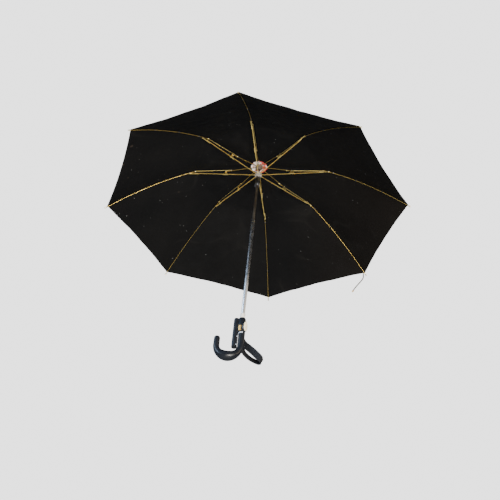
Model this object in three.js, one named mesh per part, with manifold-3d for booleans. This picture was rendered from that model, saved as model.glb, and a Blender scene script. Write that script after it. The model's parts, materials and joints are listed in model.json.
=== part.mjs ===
// Two-fold automatic umbrella with a crook handle, shown open, in millimetres, +Z up.
// The shaft is the Z axis, Z = 0 is the lowest point of the crook, and the crook opens towards -X.
// Each of the eight frame arms is a crown rib, a stretcher, a link and an outer rib, drawn in its own
// rib plane: x is the distance from the shaft, z the height above the crown, y across the rib.
import * as THREE from "three";
import { mergeVertices } from "three/addons/utils/BufferGeometryUtils.js";
import Module from "manifold-3d";

// ---- driving dimensions ----
const CROWN_Z = 756; // height of the rib plane's zero above the bottom of the crook
const ARMS = 8;
const ARM_PHASE = THREE.MathUtils.degToRad(-5.8); // azimuth of arm 1; the others follow clockwise
const GAP = 0.35; // clearance between pieces that meet

// the frame arm's pivots, as [distance from the shaft, height above the crown]
const CROWN_PIVOT = [9, -7];
const RUNNER_PIVOT = [9, -40];
const MIDDLE_PIVOT = [107, -23.5]; // crown rib to stretcher
const ELBOW = [225, -30]; // stretcher to outer rib
const LINK_ROOT_SHARE = 18 / 99.4; // the link's root lies this share of the crown rib inboard of its end
const TAIL = 19; // the outer rib reaches this far inboard of the elbow
const TAIL_ANGLE = THREE.MathUtils.degToRad(160);
const RIB_TIP = [480, -180];
const RIB_BOW = [343, -73]; // control point of the outer rib's curve

const RIB_HALF = 1.2; // half thickness of the crown rib and the outer rib
const STRETCHER_HALF = 1.6;
const EAR_Y = [-2.6, -1.6]; // the stretcher's side plates
const LINK_Y = [1.65, 2.75];
const EYE = 2.0; // radius of a rib's eye
const HOLE = 1.15; // radius of the hole in an eye
const PIN = 0.8;
const WIRE = 0.6; // the wires that thread the eyes at the crown and the runner

const UPPER_TUBE = { outer: 4.5, inner: 3.7, bottom: 480, top: 757 };
const LOWER_TUBE = { outer: 5.75, inner: 4.9, bottom: 112, top: 520 };
const RUNNER_BORE = 6.1;
const GRIP_TOP = 146;
const BARREL_BOTTOM = 95; // the barrel round the shaft ends here
const BARREL = { top: 10.8, low: 12 }; // its radius above and below its waist
const SPINE = { x: -15.3, radius: 8.2, bottom: 44.5, cap: 4 }; // the grip's second column, beside the barrel
const BUTTON_TURN = THREE.MathUtils.degToRad(-36);
const BUTTON = { z: 114, width: 14.5, height: 32, face: 17.3, travel: 2.5 };
const BOSS = { width: 17.5, height: 37, face: 15 }; // raised oval round the button
const POCKET_FLOOR = 8.2; // the button's pocket reaches this near to the shaft's axis
const BADGE = { turn: THREE.MathUtils.degToRad(-18), width: 7.5, height: 18, thickness: 0.8, z: 106 };
const TRACK = { depth: 4.2, width: 4.2, length: 46 }; // groove in the spine for the crook's slider
const SLIDER = { width: 3.4, height: 5.8, end: -1 };
const CROOK = { x: 2.8, radius: 9.5, belly: 5.3, taper: 0.8, bow: 34.2, armTop: 80, dome: 7 };
const STRAP = { width: 20, thickness: 1.6, frontLean: [0.76, -0.38, 0.53], backLean: [0.2, 0.4, 0.9] };
const TIE_RADIUS = 1;
const BEAD_RADIUS = 3.2;
const ROUND = 20; // sides of a round piece

// the canopy: rise is the cloth's height over the ribs, edge its reach along a rib, and knee the
// distance from the shaft where it meets the outer rib
const CANOPY = { rise: 3.4, thickness: 0.8, inner: 6.4, knee: 209, kneeShare: 0.43, edge: 474 };
const HEM_DIP = 7;
const SAG = 7;

const wasm = await Module();
wasm.setup();

// ---- helpers ----
function solid(geometry) {
  const bare = geometry.clone();
  bare.deleteAttribute("normal");
  bare.deleteAttribute("uv");
  const merged = mergeVertices(bare, 1e-4);
  return new wasm.Manifold(
    new wasm.Mesh({
      numProp: 3,
      vertProperties: merged.attributes.position.array,
      triVerts: new Uint32Array(merged.index.array),
    }),
  );
}

function geometryOf(manifold) {
  const mesh = manifold.getMesh();
  const geometry = new THREE.BufferGeometry();
  geometry.setAttribute("position", new THREE.BufferAttribute(mesh.vertProperties, 3));
  geometry.setIndex(new THREE.BufferAttribute(mesh.triVerts, 1));
  geometry.computeVertexNormals();
  return geometry;
}

const joined = (...parts) => geometryOf(parts.map(solid).reduce((a, b) => a.add(b)));

function cut(body, ...tools) {
  return geometryOf(tools.map(solid).reduce((a, b) => a.subtract(b), solid(body)));
}

// A closed profile of [radius, z] points turned about Z; it must run counter-clockwise.
function turned(points, sides = ROUND) {
  const profile = points.map(([r, z]) => new THREE.Vector2(r, z));
  return new THREE.LatheGeometry(profile, sides).rotateX(Math.PI / 2);
}

function ring(inner, outer, low, high, sides = ROUND) {
  return turned([[inner, low], [outer, low], [outer, high], [inner, high], [inner, low]], sides);
}

function column(radius, low, high, sides = ROUND) {
  return turned([[0, low], [radius, low], [radius, high], [0, high]], sides);
}

// A flat plate drawn in the rib plane, filling the given range across it.
function plate(shape, [y0, y1]) {
  const options = { depth: y1 - y0, bevelEnabled: false, curveSegments: 4 };
  const geometry = new THREE.ExtrudeGeometry(shape, options);
  return geometry.rotateX(Math.PI / 2).translate(0, y1, 0);
}

function disc([x, z], radius, range) {
  const shape = new THREE.Shape().absarc(x, z, radius, 0, 2 * Math.PI);
  return plate(shape, range);
}

const toward = ([x0, z0], [x1, z1], share) => [x0 + (x1 - x0) * share, z0 + (z1 - z0) * share];
const distance = ([x0, z0], [x1, z1]) => Math.hypot(x1 - x0, z1 - z0);

// A bar of even height with a round eye at each end, and a hole at each point listed.
function bar(from, to, half, eye, holes) {
  const length = distance(from, to);
  const dip = Math.asin(half / eye);
  const shape = new THREE.Shape();
  shape.absarc(0, 0, eye, dip, 2 * Math.PI - dip);
  shape.absarc(length, 0, eye, Math.PI + dip, 3 * Math.PI - dip);
  for (const at of holes) {
    shape.holes.push(new THREE.Path().absarc(distance(from, at), 0, HOLE, 0, 2 * Math.PI, true));
  }
  return { shape, angle: Math.atan2(to[1] - from[1], to[0] - from[0]), from };
}

// The bar's plate, laid along its own line in the rib plane.
function laid({ shape, angle, from }, range) {
  return plate(shape, range).rotateY(-angle).translate(from[0], 0, from[1]);
}

// Moves every vertex of a geometry by a function of its own coordinates.
function bent(geometry, place) {
  const position = geometry.attributes.position;
  for (let i = 0; i < position.count; i++) {
    const to = place(position.getX(i), position.getY(i), position.getZ(i));
    position.setXYZ(i, to.x, to.y, to.z);
  }
  geometry.computeVertexNormals();
  return geometry;
}

const metal = (color, roughness = 0.3) => new THREE.MeshStandardMaterial({ color, roughness, metalness: 1 });
const plastic = (color, roughness = 0.35) => new THREE.MeshStandardMaterial({ color, roughness });
const cloth = (color) => new THREE.MeshStandardMaterial({ color, roughness: 0.9 });

const umbrella = new THREE.Group();

function add(name, geometry, material, parent = umbrella) {
  const mesh = new THREE.Mesh(geometry, material);
  mesh.name = name;
  parent.add(mesh);
  return mesh;
}

// ---- frame arms ----
const linkRoot = toward(MIDDLE_PIVOT, CROWN_PIVOT, LINK_ROOT_SHARE);
const tailEnd = [ELBOW[0] + TAIL * Math.cos(TAIL_ANGLE), ELBOW[1] + TAIL * Math.sin(TAIL_ANGLE)];
const outerCurve = new THREE.QuadraticBezierCurve(
  new THREE.Vector2(...ELBOW),
  new THREE.Vector2(...RIB_BOW),
  new THREE.Vector2(...RIB_TIP),
);

const BAR_HALF = 1.4; // half height of the crown rib and the stretcher
const TONGUE = 30; // the plate that carries the elbow's pin, measured back from it
const CHANNEL_SHORT = 17; // the stretcher's channel stops this far before the elbow
const EAR_FOOT = 9; // half the length of an ear where it stands on the channel

function crownRib() {
  const holes = [CROWN_PIVOT, linkRoot, MIDDLE_PIVOT];
  return laid(bar(CROWN_PIVOT, MIDDLE_PIVOT, BAR_HALF, EYE, holes), [-RIB_HALF, RIB_HALF]);
}

// A straight channel from the runner, with side plates that carry the two pins.
function stretcher() {
  const length = distance(ELBOW, RUNNER_PIVOT);
  const beforeElbow = (run) => toward(ELBOW, RUNNER_PIVOT, run / length);
  const share = (MIDDLE_PIVOT[0] - RUNNER_PIVOT[0]) / (ELBOW[0] - RUNNER_PIVOT[0]);
  const [footX, footZ] = toward(RUNNER_PIVOT, ELBOW, share);
  const [earX, earZ] = MIDDLE_PIVOT;
  const outline = [
    [footX - EAR_FOOT, footZ - BAR_HALF],
    [footX + EAR_FOOT, footZ - 1],
    [earX + 1.8, earZ + 0.6],
    [earX, earZ + 1.8],
    [earX - 1.8, earZ + 0.6],
  ];
  const ear = new THREE.Shape(outline.map(([x, z]) => new THREE.Vector2(x, z)));
  const beside = [EAR_Y[0], -STRETCHER_HALF + 0.3]; // from the plates into the channel
  const throughRib = [EAR_Y[0] + 0.2, RIB_HALF];
  return joined(
    laid(
      bar(RUNNER_PIVOT, beforeElbow(CHANNEL_SHORT), BAR_HALF, EYE - 0.2, [RUNNER_PIVOT]),
      [-STRETCHER_HALF, STRETCHER_HALF],
    ),
    plate(ear, EAR_Y),
    disc([footX, footZ], 1.3, beside),
    laid(bar(beforeElbow(TONGUE), ELBOW, BAR_HALF, EYE, []), EAR_Y),
    laid(bar(beforeElbow(TONGUE - 1), beforeElbow(CHANNEL_SHORT), 1.2, 1.3, []), beside),
    disc(MIDDLE_PIVOT, PIN, throughRib),
    disc(ELBOW, PIN, throughRib),
  );
}

function link() {
  const arm = laid(bar(linkRoot, tailEnd, 1.1, EYE - 0.3, []), LINK_Y);
  return joined(arm, disc(linkRoot, PIN, [-RIB_HALF, LINK_Y[1] - 0.2]));
}

// Curved outer rib: a short tail inboard of the elbow, and a ball tip where the fabric is tied.
function outerRib() {
  const centre = [new THREE.Vector2(...tailEnd), ...outerCurve.getPoints(8)];
  const half = RIB_HALF + 0.05;
  const side = (sign) =>
    centre.map((p, i) => {
      const a = centre[Math.max(i - 1, 0)];
      const b = centre[Math.min(i + 1, centre.length - 1)];
      const along = b.clone().sub(a).normalize();
      return new THREE.Vector2(p.x - sign * half * along.y, p.y + sign * half * along.x);
    });
  const blade = new THREE.Shape([...side(-1), ...side(1).reverse()]);
  blade.holes.push(new THREE.Path().absarc(ELBOW[0], ELBOW[1], HOLE, 0, 2 * Math.PI, true));
  const tip = new THREE.SphereGeometry(2.4, 6, 4).translate(RIB_TIP[0] - 1, 0, RIB_TIP[1] + 0.7);
  const boss = disc(ELBOW, EYE + 0.4, [-RIB_HALF, RIB_HALF]);
  const body = joined(plate(blade, [-RIB_HALF, RIB_HALF]), boss, tip);
  return cut(body, disc(ELBOW, HOLE, [-4, 4]));
}

const brass = metal(0xc9a24b);
const brassDark = metal(0x8a6a2c, 0.45);
for (let k = 0; k < ARMS; k++) {
  const arm = new THREE.Group();
  arm.rotation.z = ARM_PHASE - (k * 2 * Math.PI) / ARMS;
  arm.position.z = CROWN_Z;
  add(`crown_rib_${k + 1}`, crownRib(), brassDark, arm);
  add(`stretcher_${k + 1}`, stretcher(), brass, arm);
  add(`link_${k + 1}`, link(), brass, arm);
  add(`outer_rib_${k + 1}`, outerRib(), brassDark, arm);
  umbrella.add(arm);
}

// ---- canopy: one gore between each two arms ----
// Height of the outer rib's centre line at a distance from the shaft, carried on inboard of the elbow.
function ribHeight(radius) {
  const elbowSlope = (RIB_BOW[1] - ELBOW[1]) / (RIB_BOW[0] - ELBOW[0]);
  if (radius <= ELBOW[0]) return ELBOW[1] + elbowSlope * (radius - ELBOW[0]);
  const run = 2 * (RIB_BOW[0] - ELBOW[0]);
  const bend = RIB_TIP[0] - 2 * RIB_BOW[0] + ELBOW[0];
  const t = (-run + Math.sqrt(run * run + 4 * bend * (radius - ELBOW[0]))) / (2 * bend);
  return outerCurve.getPoint(t).y;
}

// The fabric over a rib: straight from the crown to the knee, then along the outer rib to the tip.
function ribLine(share) {
  const knee = [CANOPY.knee, ribHeight(CANOPY.knee) + CANOPY.rise + 1];
  if (share <= CANOPY.kneeShare) return toward([CANOPY.inner, -0.9], knee, share / CANOPY.kneeShare);
  const t = (share - CANOPY.kneeShare) / (1 - CANOPY.kneeShare);
  const radius = CANOPY.knee + (CANOPY.edge - CANOPY.knee) * t;
  return [radius, ribHeight(radius) + CANOPY.rise + 1 - t];
}

function gore() {
  const half = Math.PI / ARMS;
  const sheet = new THREE.BoxGeometry(1, 1, 1, 7, 4, 1);
  return bent(sheet, (bx, by, bz) => {
    const share = bx + 0.5;
    const across = 2 * by;
    const [radius, height] = ribLine(share);
    const belly = 1 - across * across;
    const reach = radius * Math.cos(half) - HEM_DIP * belly * share ** 3;
    const side = radius * Math.sin(half) - GAP / 2;
    const fall = SAG * belly * Math.sin(Math.PI * share);
    return new THREE.Vector3(reach, across * side, height - fall + bz * CANOPY.thickness);
  });
}

for (let k = 0; k < ARMS; k++) {
  const panel = add(`canopy_gore_${k + 1}`, gore(), cloth(0x18181b));
  panel.rotation.z = ARM_PHASE - ((k + 0.5) * 2 * Math.PI) / ARMS;
  panel.position.z = CROWN_Z;
}

// ---- shaft ----
const tube = ({ inner, outer, bottom, top }) => ring(inner, outer, bottom, top);
add("lower_tube", tube(LOWER_TUBE), metal(0xc8ccd2, 0.15));
add("upper_tube", tube(UPPER_TUBE), metal(0xb8bcc2, 0.2));

// The eight slots that take the rib eyes, cut from a turned hub.
function slotted(hub, pivot, width, floor) {
  const slots = Array.from({ length: ARMS }, (_, k) =>
    new THREE.BoxGeometry(14, width, 16)
      .translate(floor + 7, 0, CROWN_Z + pivot[1])
      .rotateZ(ARM_PHASE - (k * 2 * Math.PI) / ARMS),
  );
  return cut(hub, ...slots);
}

function wireRing(pivot) {
  return new THREE.TorusGeometry(pivot[0], WIRE, 4, 24).translate(0, 0, CROWN_Z + pivot[1]);
}

// A hub: a sleeve with a flange whose groove, open outwards, takes the wire. Heights are measured
// from the crown.
function hub({ bore, body, sleeve, flange }, pivot) {
  const groove = [pivot[1] - WIRE - GAP, pivot[1] + WIRE + GAP];
  const grooveFloor = pivot[0] - WIRE - GAP;
  const rim = pivot[0] + 2;
  const profile = [
    [bore, sleeve[0]],
    [body, sleeve[0]],
    [body, flange[0]],
    [rim, flange[0]],
    [rim, groove[0]],
    [grooveFloor, groove[0]],
    [grooveFloor, groove[1]],
    [rim, groove[1]],
    [rim, flange[1]],
    [body, flange[1]],
    [body, sleeve[1]],
    [bore, sleeve[1]],
    [bore, sleeve[0]],
  ];
  return turned(profile).translate(0, 0, CROWN_Z);
}

const crownHub = hub(
  { bore: UPPER_TUBE.outer + GAP, body: 6.7, sleeve: [-18, -3], flange: [-10.5, -3.6] },
  CROWN_PIVOT,
);
add("crown", slotted(crownHub, CROWN_PIVOT, 3.1, 6.9), plastic(0xd9d6cf));
add("crown_wire", wireRing(CROWN_PIVOT), metal(0xb0b0b0));

const runnerHub = hub(
  { bore: RUNNER_BORE, body: 6.9, sleeve: [-52, -33], flange: [-46, -35] },
  RUNNER_PIVOT,
);
add("runner", slotted(runnerHub, RUNNER_PIVOT, 3.9, 7.0), plastic(0xdcd9d2));
add("runner_wire", wireRing(RUNNER_PIVOT), metal(0xb0b0b0));
add("runner_sleeve", ring(RUNNER_BORE, 7.6, CROWN_Z - 90, CROWN_Z - 52 - GAP), metal(0x55565a, 0.25));

// Disc of cloth between the crown and the canopy, and the cap screwed on top of the shaft.
const rosetteLine = [[UPPER_TUBE.outer + GAP, -2.6], [11, -2.7], [28, -6.6]];
const rosetteTop = rosetteLine.map(([r, z]) => [r, z + 0.6]).reverse();
const rosetteProfile = [...rosetteLine, ...rosetteTop, rosetteLine[0]];
add("rosette", turned(rosetteProfile.map(([r, z]) => [r, CROWN_Z + z])), cloth(0xe8e2dc));
add(
  "top_cap",
  turned([
    [0, UPPER_TUBE.top + GAP],
    [5.4, UPPER_TUBE.top + GAP],
    [7.5, UPPER_TUBE.top + 3],
    [6, UPPER_TUBE.top + 7],
    [4.6, UPPER_TUBE.top + 18],
    [3.4, UPPER_TUBE.top + 20],
    [0, UPPER_TUBE.top + 20],
  ]),
  plastic(0x16161a),
);

// ---- handle ----
// Barrel round the shaft and spine beside it, in one moulding, with the tube's socket, the button's
// pocket and the track that guides the crook's slider.
const trackFloor = SPINE.x + SPINE.radius - TRACK.depth;

function onButtonSide(geometry) {
  return geometry.rotateZ(BUTTON_TURN).translate(0, 0, BUTTON.z);
}

function oval(width, height, from, to) {
  const geometry = new THREE.CylinderGeometry(0.5, 0.5, 1, ROUND);
  return geometry.rotateZ(Math.PI / 2).scale(to - from, width, height).translate((from + to) / 2, 0, 0);
}

function gripBody() {
  const barrel = turned([
    [0, BARREL_BOTTOM],
    [BARREL.low, BARREL_BOTTOM],
    [BARREL.low, GRIP_TOP - 22],
    [BARREL.top, GRIP_TOP - 4],
    [BARREL.top - 2, GRIP_TOP],
    [0, GRIP_TOP],
  ]);
  const spine = column(SPINE.radius, SPINE.bottom + SPINE.cap, GRIP_TOP - 2).translate(SPINE.x, 0, 0);
  const webTop = GRIP_TOP - 4;
  const web = new THREE.BoxGeometry(16, 13, webTop - BARREL_BOTTOM);
  web.translate(SPINE.x / 2 - 1, 0, (webTop + BARREL_BOTTOM) / 2);
  const boss = onButtonSide(oval(BOSS.width, BOSS.height, 6, BOSS.face));
  const strapLug = new THREE.BoxGeometry(10, 5, 16).translate(3, BARREL.top + 1.6, BARREL_BOTTOM + 10);
  const socket = column(LOWER_TUBE.outer + GAP, LOWER_TUBE.bottom - GAP, GRIP_TOP + 1);
  const pocket = onButtonSide(oval(BUTTON.width + 2 * GAP, BUTTON.height + 2 * GAP, POCKET_FLOOR, 20));
  const track = new THREE.BoxGeometry(8, TRACK.width, TRACK.length);
  track.translate(trackFloor + 4, 0, BARREL_BOTTOM - 0.5 - TRACK.length / 2);
  return cut(joined(barrel, spine, web, boss, strapLug), socket, pocket, track);
}
add("grip_body", gripBody(), plastic(0x17181a, 0.2));

const endCap = [
  [0, SPINE.bottom],
  [SPINE.radius - 1.5, SPINE.bottom],
  [SPINE.radius, SPINE.bottom + 1.5],
  [SPINE.radius, SPINE.bottom + SPINE.cap - GAP],
  [0, SPINE.bottom + SPINE.cap - GAP],
];
add("grip_end_cap", turned(endCap).translate(SPINE.x, 0, 0), plastic(0x1b1c1f, 0.3));
const collar = ring(LOWER_TUBE.outer + GAP, 7, GRIP_TOP + GAP, GRIP_TOP + 16);
add("tube_collar", collar, plastic(0xe6e4df, 0.4));

// The button slides into its pocket against a spring, drawn as a sleeve round its coils.
const buttonBack = POCKET_FLOOR + 1.2 + BUTTON.travel;
add(
  "release_button",
  onButtonSide(oval(BUTTON.width, BUTTON.height, buttonBack, BUTTON.face)),
  metal(0xd8c9a0, 0.35),
);
const spring = ring(1.6, 2.4, 0, buttonBack - POCKET_FLOOR - 2 * GAP, 12);
spring.rotateY(Math.PI / 2).translate(POCKET_FLOOR + GAP, 0, 0);
add("button_spring", onButtonSide(spring), metal(0xaab0b6));

const badge = new THREE.BoxGeometry(BADGE.width, BADGE.thickness, BADGE.height);
badge.translate(0, -BARREL.low - BADGE.thickness / 2 - GAP, BADGE.z).rotateZ(BADGE.turn);
add("badge_plate", badge, metal(0xc79a45, 0.3));

// Crook: shank under the barrel, half-round bow, and a shorter arm with a domed end.
const bowZ = CROOK.radius + CROOK.belly + CROOK.bow;
const armX = CROOK.x - 2 * CROOK.bow;

class Bow extends THREE.Curve {
  getPoint(t, target = new THREE.Vector3()) {
    const a = Math.PI * t;
    const x = CROOK.x - CROOK.bow + CROOK.bow * Math.cos(a);
    return target.set(x, 0, bowZ - CROOK.bow * Math.sin(a));
  }
}
const crookPath = new THREE.CurvePath();
const shankTop = new THREE.Vector3(CROOK.x, 0, BARREL_BOTTOM - GAP);
crookPath.add(new THREE.LineCurve3(shankTop, new THREE.Vector3(CROOK.x, 0, bowZ)));
crookPath.add(new Bow());
const armFoot = new THREE.Vector3(armX, 0, bowZ);
crookPath.add(new THREE.LineCurve3(armFoot, new THREE.Vector3(armX, 0, CROOK.armTop)));

// The rod is fullest at the bottom of the bow and thins towards its end.
function crookRadius(share) {
  const middle = Math.sin(Math.PI * THREE.MathUtils.clamp((share - 0.3) / 0.5, 0, 1)) ** 2;
  return CROOK.radius + CROOK.belly * middle - CROOK.taper * THREE.MathUtils.smoothstep(share, 0.65, 1);
}

function crook() {
  const rod = new THREE.CylinderGeometry(1, 1, 1, 12, 24);
  const length = crookPath.getLength();
  const body = bent(rod, (cx, cy, cz) => {
    const share = 0.5 - cy;
    const centre = crookPath.getPointAt(share);
    const along = crookPath.getTangentAt(share);
    const out = new THREE.Vector3(along.z, 0, -along.x);
    const domeShare = Math.max(0, 1 - ((1 - share) * length) / CROOK.dome);
    const radius = crookRadius(share) * Math.sqrt(1 - 0.9 * domeShare ** 2);
    return centre.addScaledVector(out, cx * radius).add(new THREE.Vector3(0, cz * radius, 0));
  });
  const socket = new THREE.BoxGeometry(12, SLIDER.width + 2 * GAP, 14);
  socket.translate(SLIDER.end + GAP - 6, 0, BARREL_BOTTOM - GAP);
  return cut(body, socket);
}
add("crook", crook(), plastic(0x15171a, 0.18));

// Slider: a tongue let into the shank's top, whose end runs in the spine's track.
function crookSlider() {
  const start = trackFloor + GAP;
  const top = BARREL_BOTTOM - 2 * GAP;
  const tongue = new THREE.BoxGeometry(SLIDER.end - start, SLIDER.width, SLIDER.height);
  return tongue.translate((SLIDER.end + start) / 2, 0, top - SLIDER.height / 2);
}
add("crook_slider", crookSlider(), plastic(0xc9ccd2, 0.4));

// Wrist strap: one band of webbing, out from the lug, round and back behind itself.
const strapRoute = [
  [4, 17.6, 99], [7, 17, 84], [14, 13.5, 67], [25, 9.5, 54], [36, 6.5, 43], [51, 4, 27], [61, 4, 16.5],
  [66, 8.5, 12], [66, 15, 11.5], [61, 21, 13], [51, 25.5, 18], [38, 27.5, 25.5], [25, 28, 35], [13, 27, 48],
  [6, 24.5, 66], [3, 20.6, 99],
];
const strapPoints = strapRoute.map((p) => new THREE.Vector3(...p));
const strapCurve = new THREE.CatmullRomCurve3(strapPoints, false, "centripetal");

function wristStrap() {
  const band = new THREE.BoxGeometry(1, 1, 1, 34, 1, 1);
  return bent(band, (bx, by, bz) => {
    const share = bx + 0.5;
    const centre = strapCurve.getPointAt(share);
    const along = strapCurve.getTangentAt(share);
    const free = THREE.MathUtils.smoothstep(Math.min(share, 1 - share), 0, 0.2); // 1 on the open loop
    const returning = THREE.MathUtils.smoothstep(share, 0.36, 0.5); // 0 on the way out, 1 on the way back
    const lean = new THREE.Vector3(...STRAP.frontLean).lerp(new THREE.Vector3(...STRAP.backLean), returning);
    const across = new THREE.Vector3(1, 0, 0).lerp(lean, free);
    across.addScaledVector(along, -across.dot(along)).normalize();
    const normal = along.clone().cross(across);
    return centre
      .addScaledVector(across, by * STRAP.width * (0.5 + 0.5 * free))
      .addScaledVector(normal, bz * STRAP.thickness);
  });
}
add("wrist_strap", wristStrap(), cloth(0x1a1a1d));

// ---- closing tie: a cord from the hem beside arm 8, with a bead on its end ----
// The route is drawn in arm 8's rib plane, with y across it and z above the crown.
const tieArm = ARM_PHASE - (7 * 2 * Math.PI) / ARMS;
const tieRoute = [
  [472, 6, -181], [473, 6.2, -184], [473.2, 6.8, -188], [472.8, 8, -192], [471.8, 9.6, -196],
  [470.4, 11.6, -200], [468.8, 13.8, -204], [467, 16.2, -208], [465.2, 18.8, -212], [463.4, 21.5, -216],
  [461.7, 24.2, -220], [460.2, 27, -224], [458.8, 29.8, -228], [457.6, 32.4, -232], [456.6, 34.8, -236],
];
const tiePoints = tieRoute.map((p) => new THREE.Vector3(...p));
const tieCurve = new THREE.CatmullRomCurve3(tiePoints, false, "centripetal");

function closureTie() {
  const section = new THREE.Shape().absarc(0, 0, TIE_RADIUS, 0, 2 * Math.PI);
  const sweep = { steps: 14, curveSegments: 4, bevelEnabled: false, extrudePath: tieCurve };
  return new THREE.ExtrudeGeometry(section, sweep);
}

function tieBead() {
  const at = tieCurve.getPoint(1).addScaledVector(tieCurve.getTangent(1), BEAD_RADIUS + GAP);
  return new THREE.SphereGeometry(BEAD_RADIUS, 12, 8).translate(at.x, at.y, at.z);
}

const tie = new THREE.Group();
tie.rotation.z = tieArm;
tie.position.z = CROWN_Z;
add("closure_tie", closureTie(), cloth(0x4a3c1c), tie);
add("tie_bead", tieBead(), metal(0xc9a24b), tie);
umbrella.add(tie);

export default umbrella;
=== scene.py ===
import json
from math import atan2, cos, hypot, pi, radians, sin, sqrt

import bmesh
import bpy
import numpy as np
from mathutils import Matrix, Vector, noise


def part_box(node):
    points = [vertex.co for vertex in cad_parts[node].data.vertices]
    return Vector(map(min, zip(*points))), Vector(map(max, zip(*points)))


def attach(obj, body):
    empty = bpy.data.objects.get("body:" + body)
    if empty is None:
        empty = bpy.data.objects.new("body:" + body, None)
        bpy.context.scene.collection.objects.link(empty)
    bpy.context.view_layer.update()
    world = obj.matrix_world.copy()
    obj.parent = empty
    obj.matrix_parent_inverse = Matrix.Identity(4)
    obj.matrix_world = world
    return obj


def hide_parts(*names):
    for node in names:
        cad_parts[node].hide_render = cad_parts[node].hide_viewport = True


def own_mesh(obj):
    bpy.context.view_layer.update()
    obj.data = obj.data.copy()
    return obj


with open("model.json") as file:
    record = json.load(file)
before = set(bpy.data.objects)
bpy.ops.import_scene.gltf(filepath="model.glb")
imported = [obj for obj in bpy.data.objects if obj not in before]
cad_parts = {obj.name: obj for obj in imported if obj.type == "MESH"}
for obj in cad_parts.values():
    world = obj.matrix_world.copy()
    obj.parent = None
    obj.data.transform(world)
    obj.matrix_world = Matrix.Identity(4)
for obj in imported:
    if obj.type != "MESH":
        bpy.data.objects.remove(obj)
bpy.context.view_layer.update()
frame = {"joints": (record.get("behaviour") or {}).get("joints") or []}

MM = 0.001
ARMS = 8
CROWN_Z = 0.756


def metres(values):
    """A tuple or list of millimetres as an array of metres."""
    return np.array(values, float) * MM


def unit_of(vector):
    return vector / np.linalg.norm(vector)


def tangents(path):
    """Unit directions along a path of points."""
    along = np.gradient(path, axis=0)
    return along / np.linalg.norm(along, axis=1)[:, None]


def circle(count):
    """Evenly spaced angles round one turn."""
    return np.arange(count) * 2 * pi / count


def eased(share):
    """Takes 0 to 1 to the same range, with a soft start and end."""
    return share * share * (3 - 2 * share)


# ---- the frame's own joints give the arms' angles and pivots ----
JOINTS = {j["name"]: j for j in frame["joints"]}


def hinge_of(stem, arm):
    return JOINTS["canopy_fold" if (stem, arm) == ("crown_rib", 1) else f"{stem}_{arm}_hinge"]


def azimuth(arm):
    axis = hinge_of("crown_rib", arm)["axis"]
    return atan2(-axis[0], axis[1])


def pivot(joint):
    x, y, z = joint["pos_m"]
    return np.array([hypot(x, y), z])


CROWN_PIVOT = pivot(hinge_of("crown_rib", 1))
MIDDLE_PIVOT = pivot(hinge_of("stretcher", 1))
LINK_ROOT = pivot(hinge_of("link", 1))
ELBOW = pivot(hinge_of("elbow", 1))
RUNNER_PIVOT = pivot(JOINTS["runner_hinge"])

# ---- shape of the outer rib, repeated from the CAD source ----
RIB_TIP = np.array([0.480, CROWN_Z - 0.180])
RIB_BOW = np.array([0.343, CROWN_Z - 0.073])
TAIL = 0.019
TAIL_ANGLE = radians(160)
TAIL_END = ELBOW + TAIL * np.array([cos(TAIL_ANGLE), sin(TAIL_ANGLE)])


def rib_curve(t):
    """Point of the outer rib's centre line, from the elbow at t = 0 to the tip at t = 1."""
    t = np.asarray(t, float)[..., None]
    return (1 - t) ** 2 * ELBOW + 2 * t * (1 - t) * RIB_BOW + t**2 * RIB_TIP


def rib_height(radius):
    """Height of the outer rib's centre line, carried on in a straight line inboard of the elbow."""
    slope = (RIB_BOW[1] - ELBOW[1]) / (RIB_BOW[0] - ELBOW[0])
    run = 2 * (RIB_BOW[0] - ELBOW[0])
    bend = RIB_TIP[0] - 2 * RIB_BOW[0] + ELBOW[0]
    t = (-run + np.sqrt(run**2 + 4 * bend * np.maximum(radius - ELBOW[0], 0))) / (2 * bend)
    return np.where(radius <= ELBOW[0], ELBOW[1] + slope * (radius - ELBOW[0]), rib_curve(t)[..., 1])


# ---- camera: below the canopy, looking up at it ----
LENS = 79.5
SENSOR_WIDTH = 36
CLIP_END = 60
CAMERA_PLACE = Vector((0.180, -2.574, -1.711))
CAMERA_AHEAD = Vector((-0.054, 0.772, 0.634)).normalized()
CAMERA_RIGHT = Vector((0.996, 0.0, 0.085))


def make_camera():
    data = bpy.data.cameras.new("camera")
    data.sensor_width = SENSOR_WIDTH
    data.lens = LENS
    data.clip_end = CLIP_END
    camera = bpy.data.objects.new("camera", data)
    bpy.context.scene.collection.objects.link(camera)
    right = (CAMERA_RIGHT - CAMERA_AHEAD * CAMERA_RIGHT.dot(CAMERA_AHEAD)).normalized()
    turn = Matrix((right, right.cross(CAMERA_AHEAD), -CAMERA_AHEAD)).transposed()
    camera.matrix_world = Matrix.Translation(CAMERA_PLACE) @ turn.to_4x4()
    bpy.context.scene.camera = camera


make_camera()


# ---- mesh helpers ----
def swept(rings, closed=False):
    """A closed shell through rings of points: capped at its ends, or joined end to end if closed."""
    rings = [np.asarray(r, float) for r in rings]
    count = len(rings[0])
    turns = len(rings) if closed else len(rings) - 1
    faces = []
    for i in range(turns):
        low = i * count
        high = (i + 1) % len(rings) * count
        for j in range(count):
            k = (j + 1) % count
            faces.append((low + j, low + k, high + k, high + j))
    if not closed:
        faces.append(tuple(range(count - 1, -1, -1)))
        faces.append(tuple((len(rings) - 1) * count + j for j in range(count)))
    return np.concatenate(rings), faces


def box_shell(low, high):
    (x0, y0, z0), (x1, y1, z1) = low, high
    corner = [(y0, z0), (y1, z0), (y1, z1), (y0, z1)]
    return swept([[(x, y, z) for y, z in corner] for x in (x0, x1)])


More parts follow.
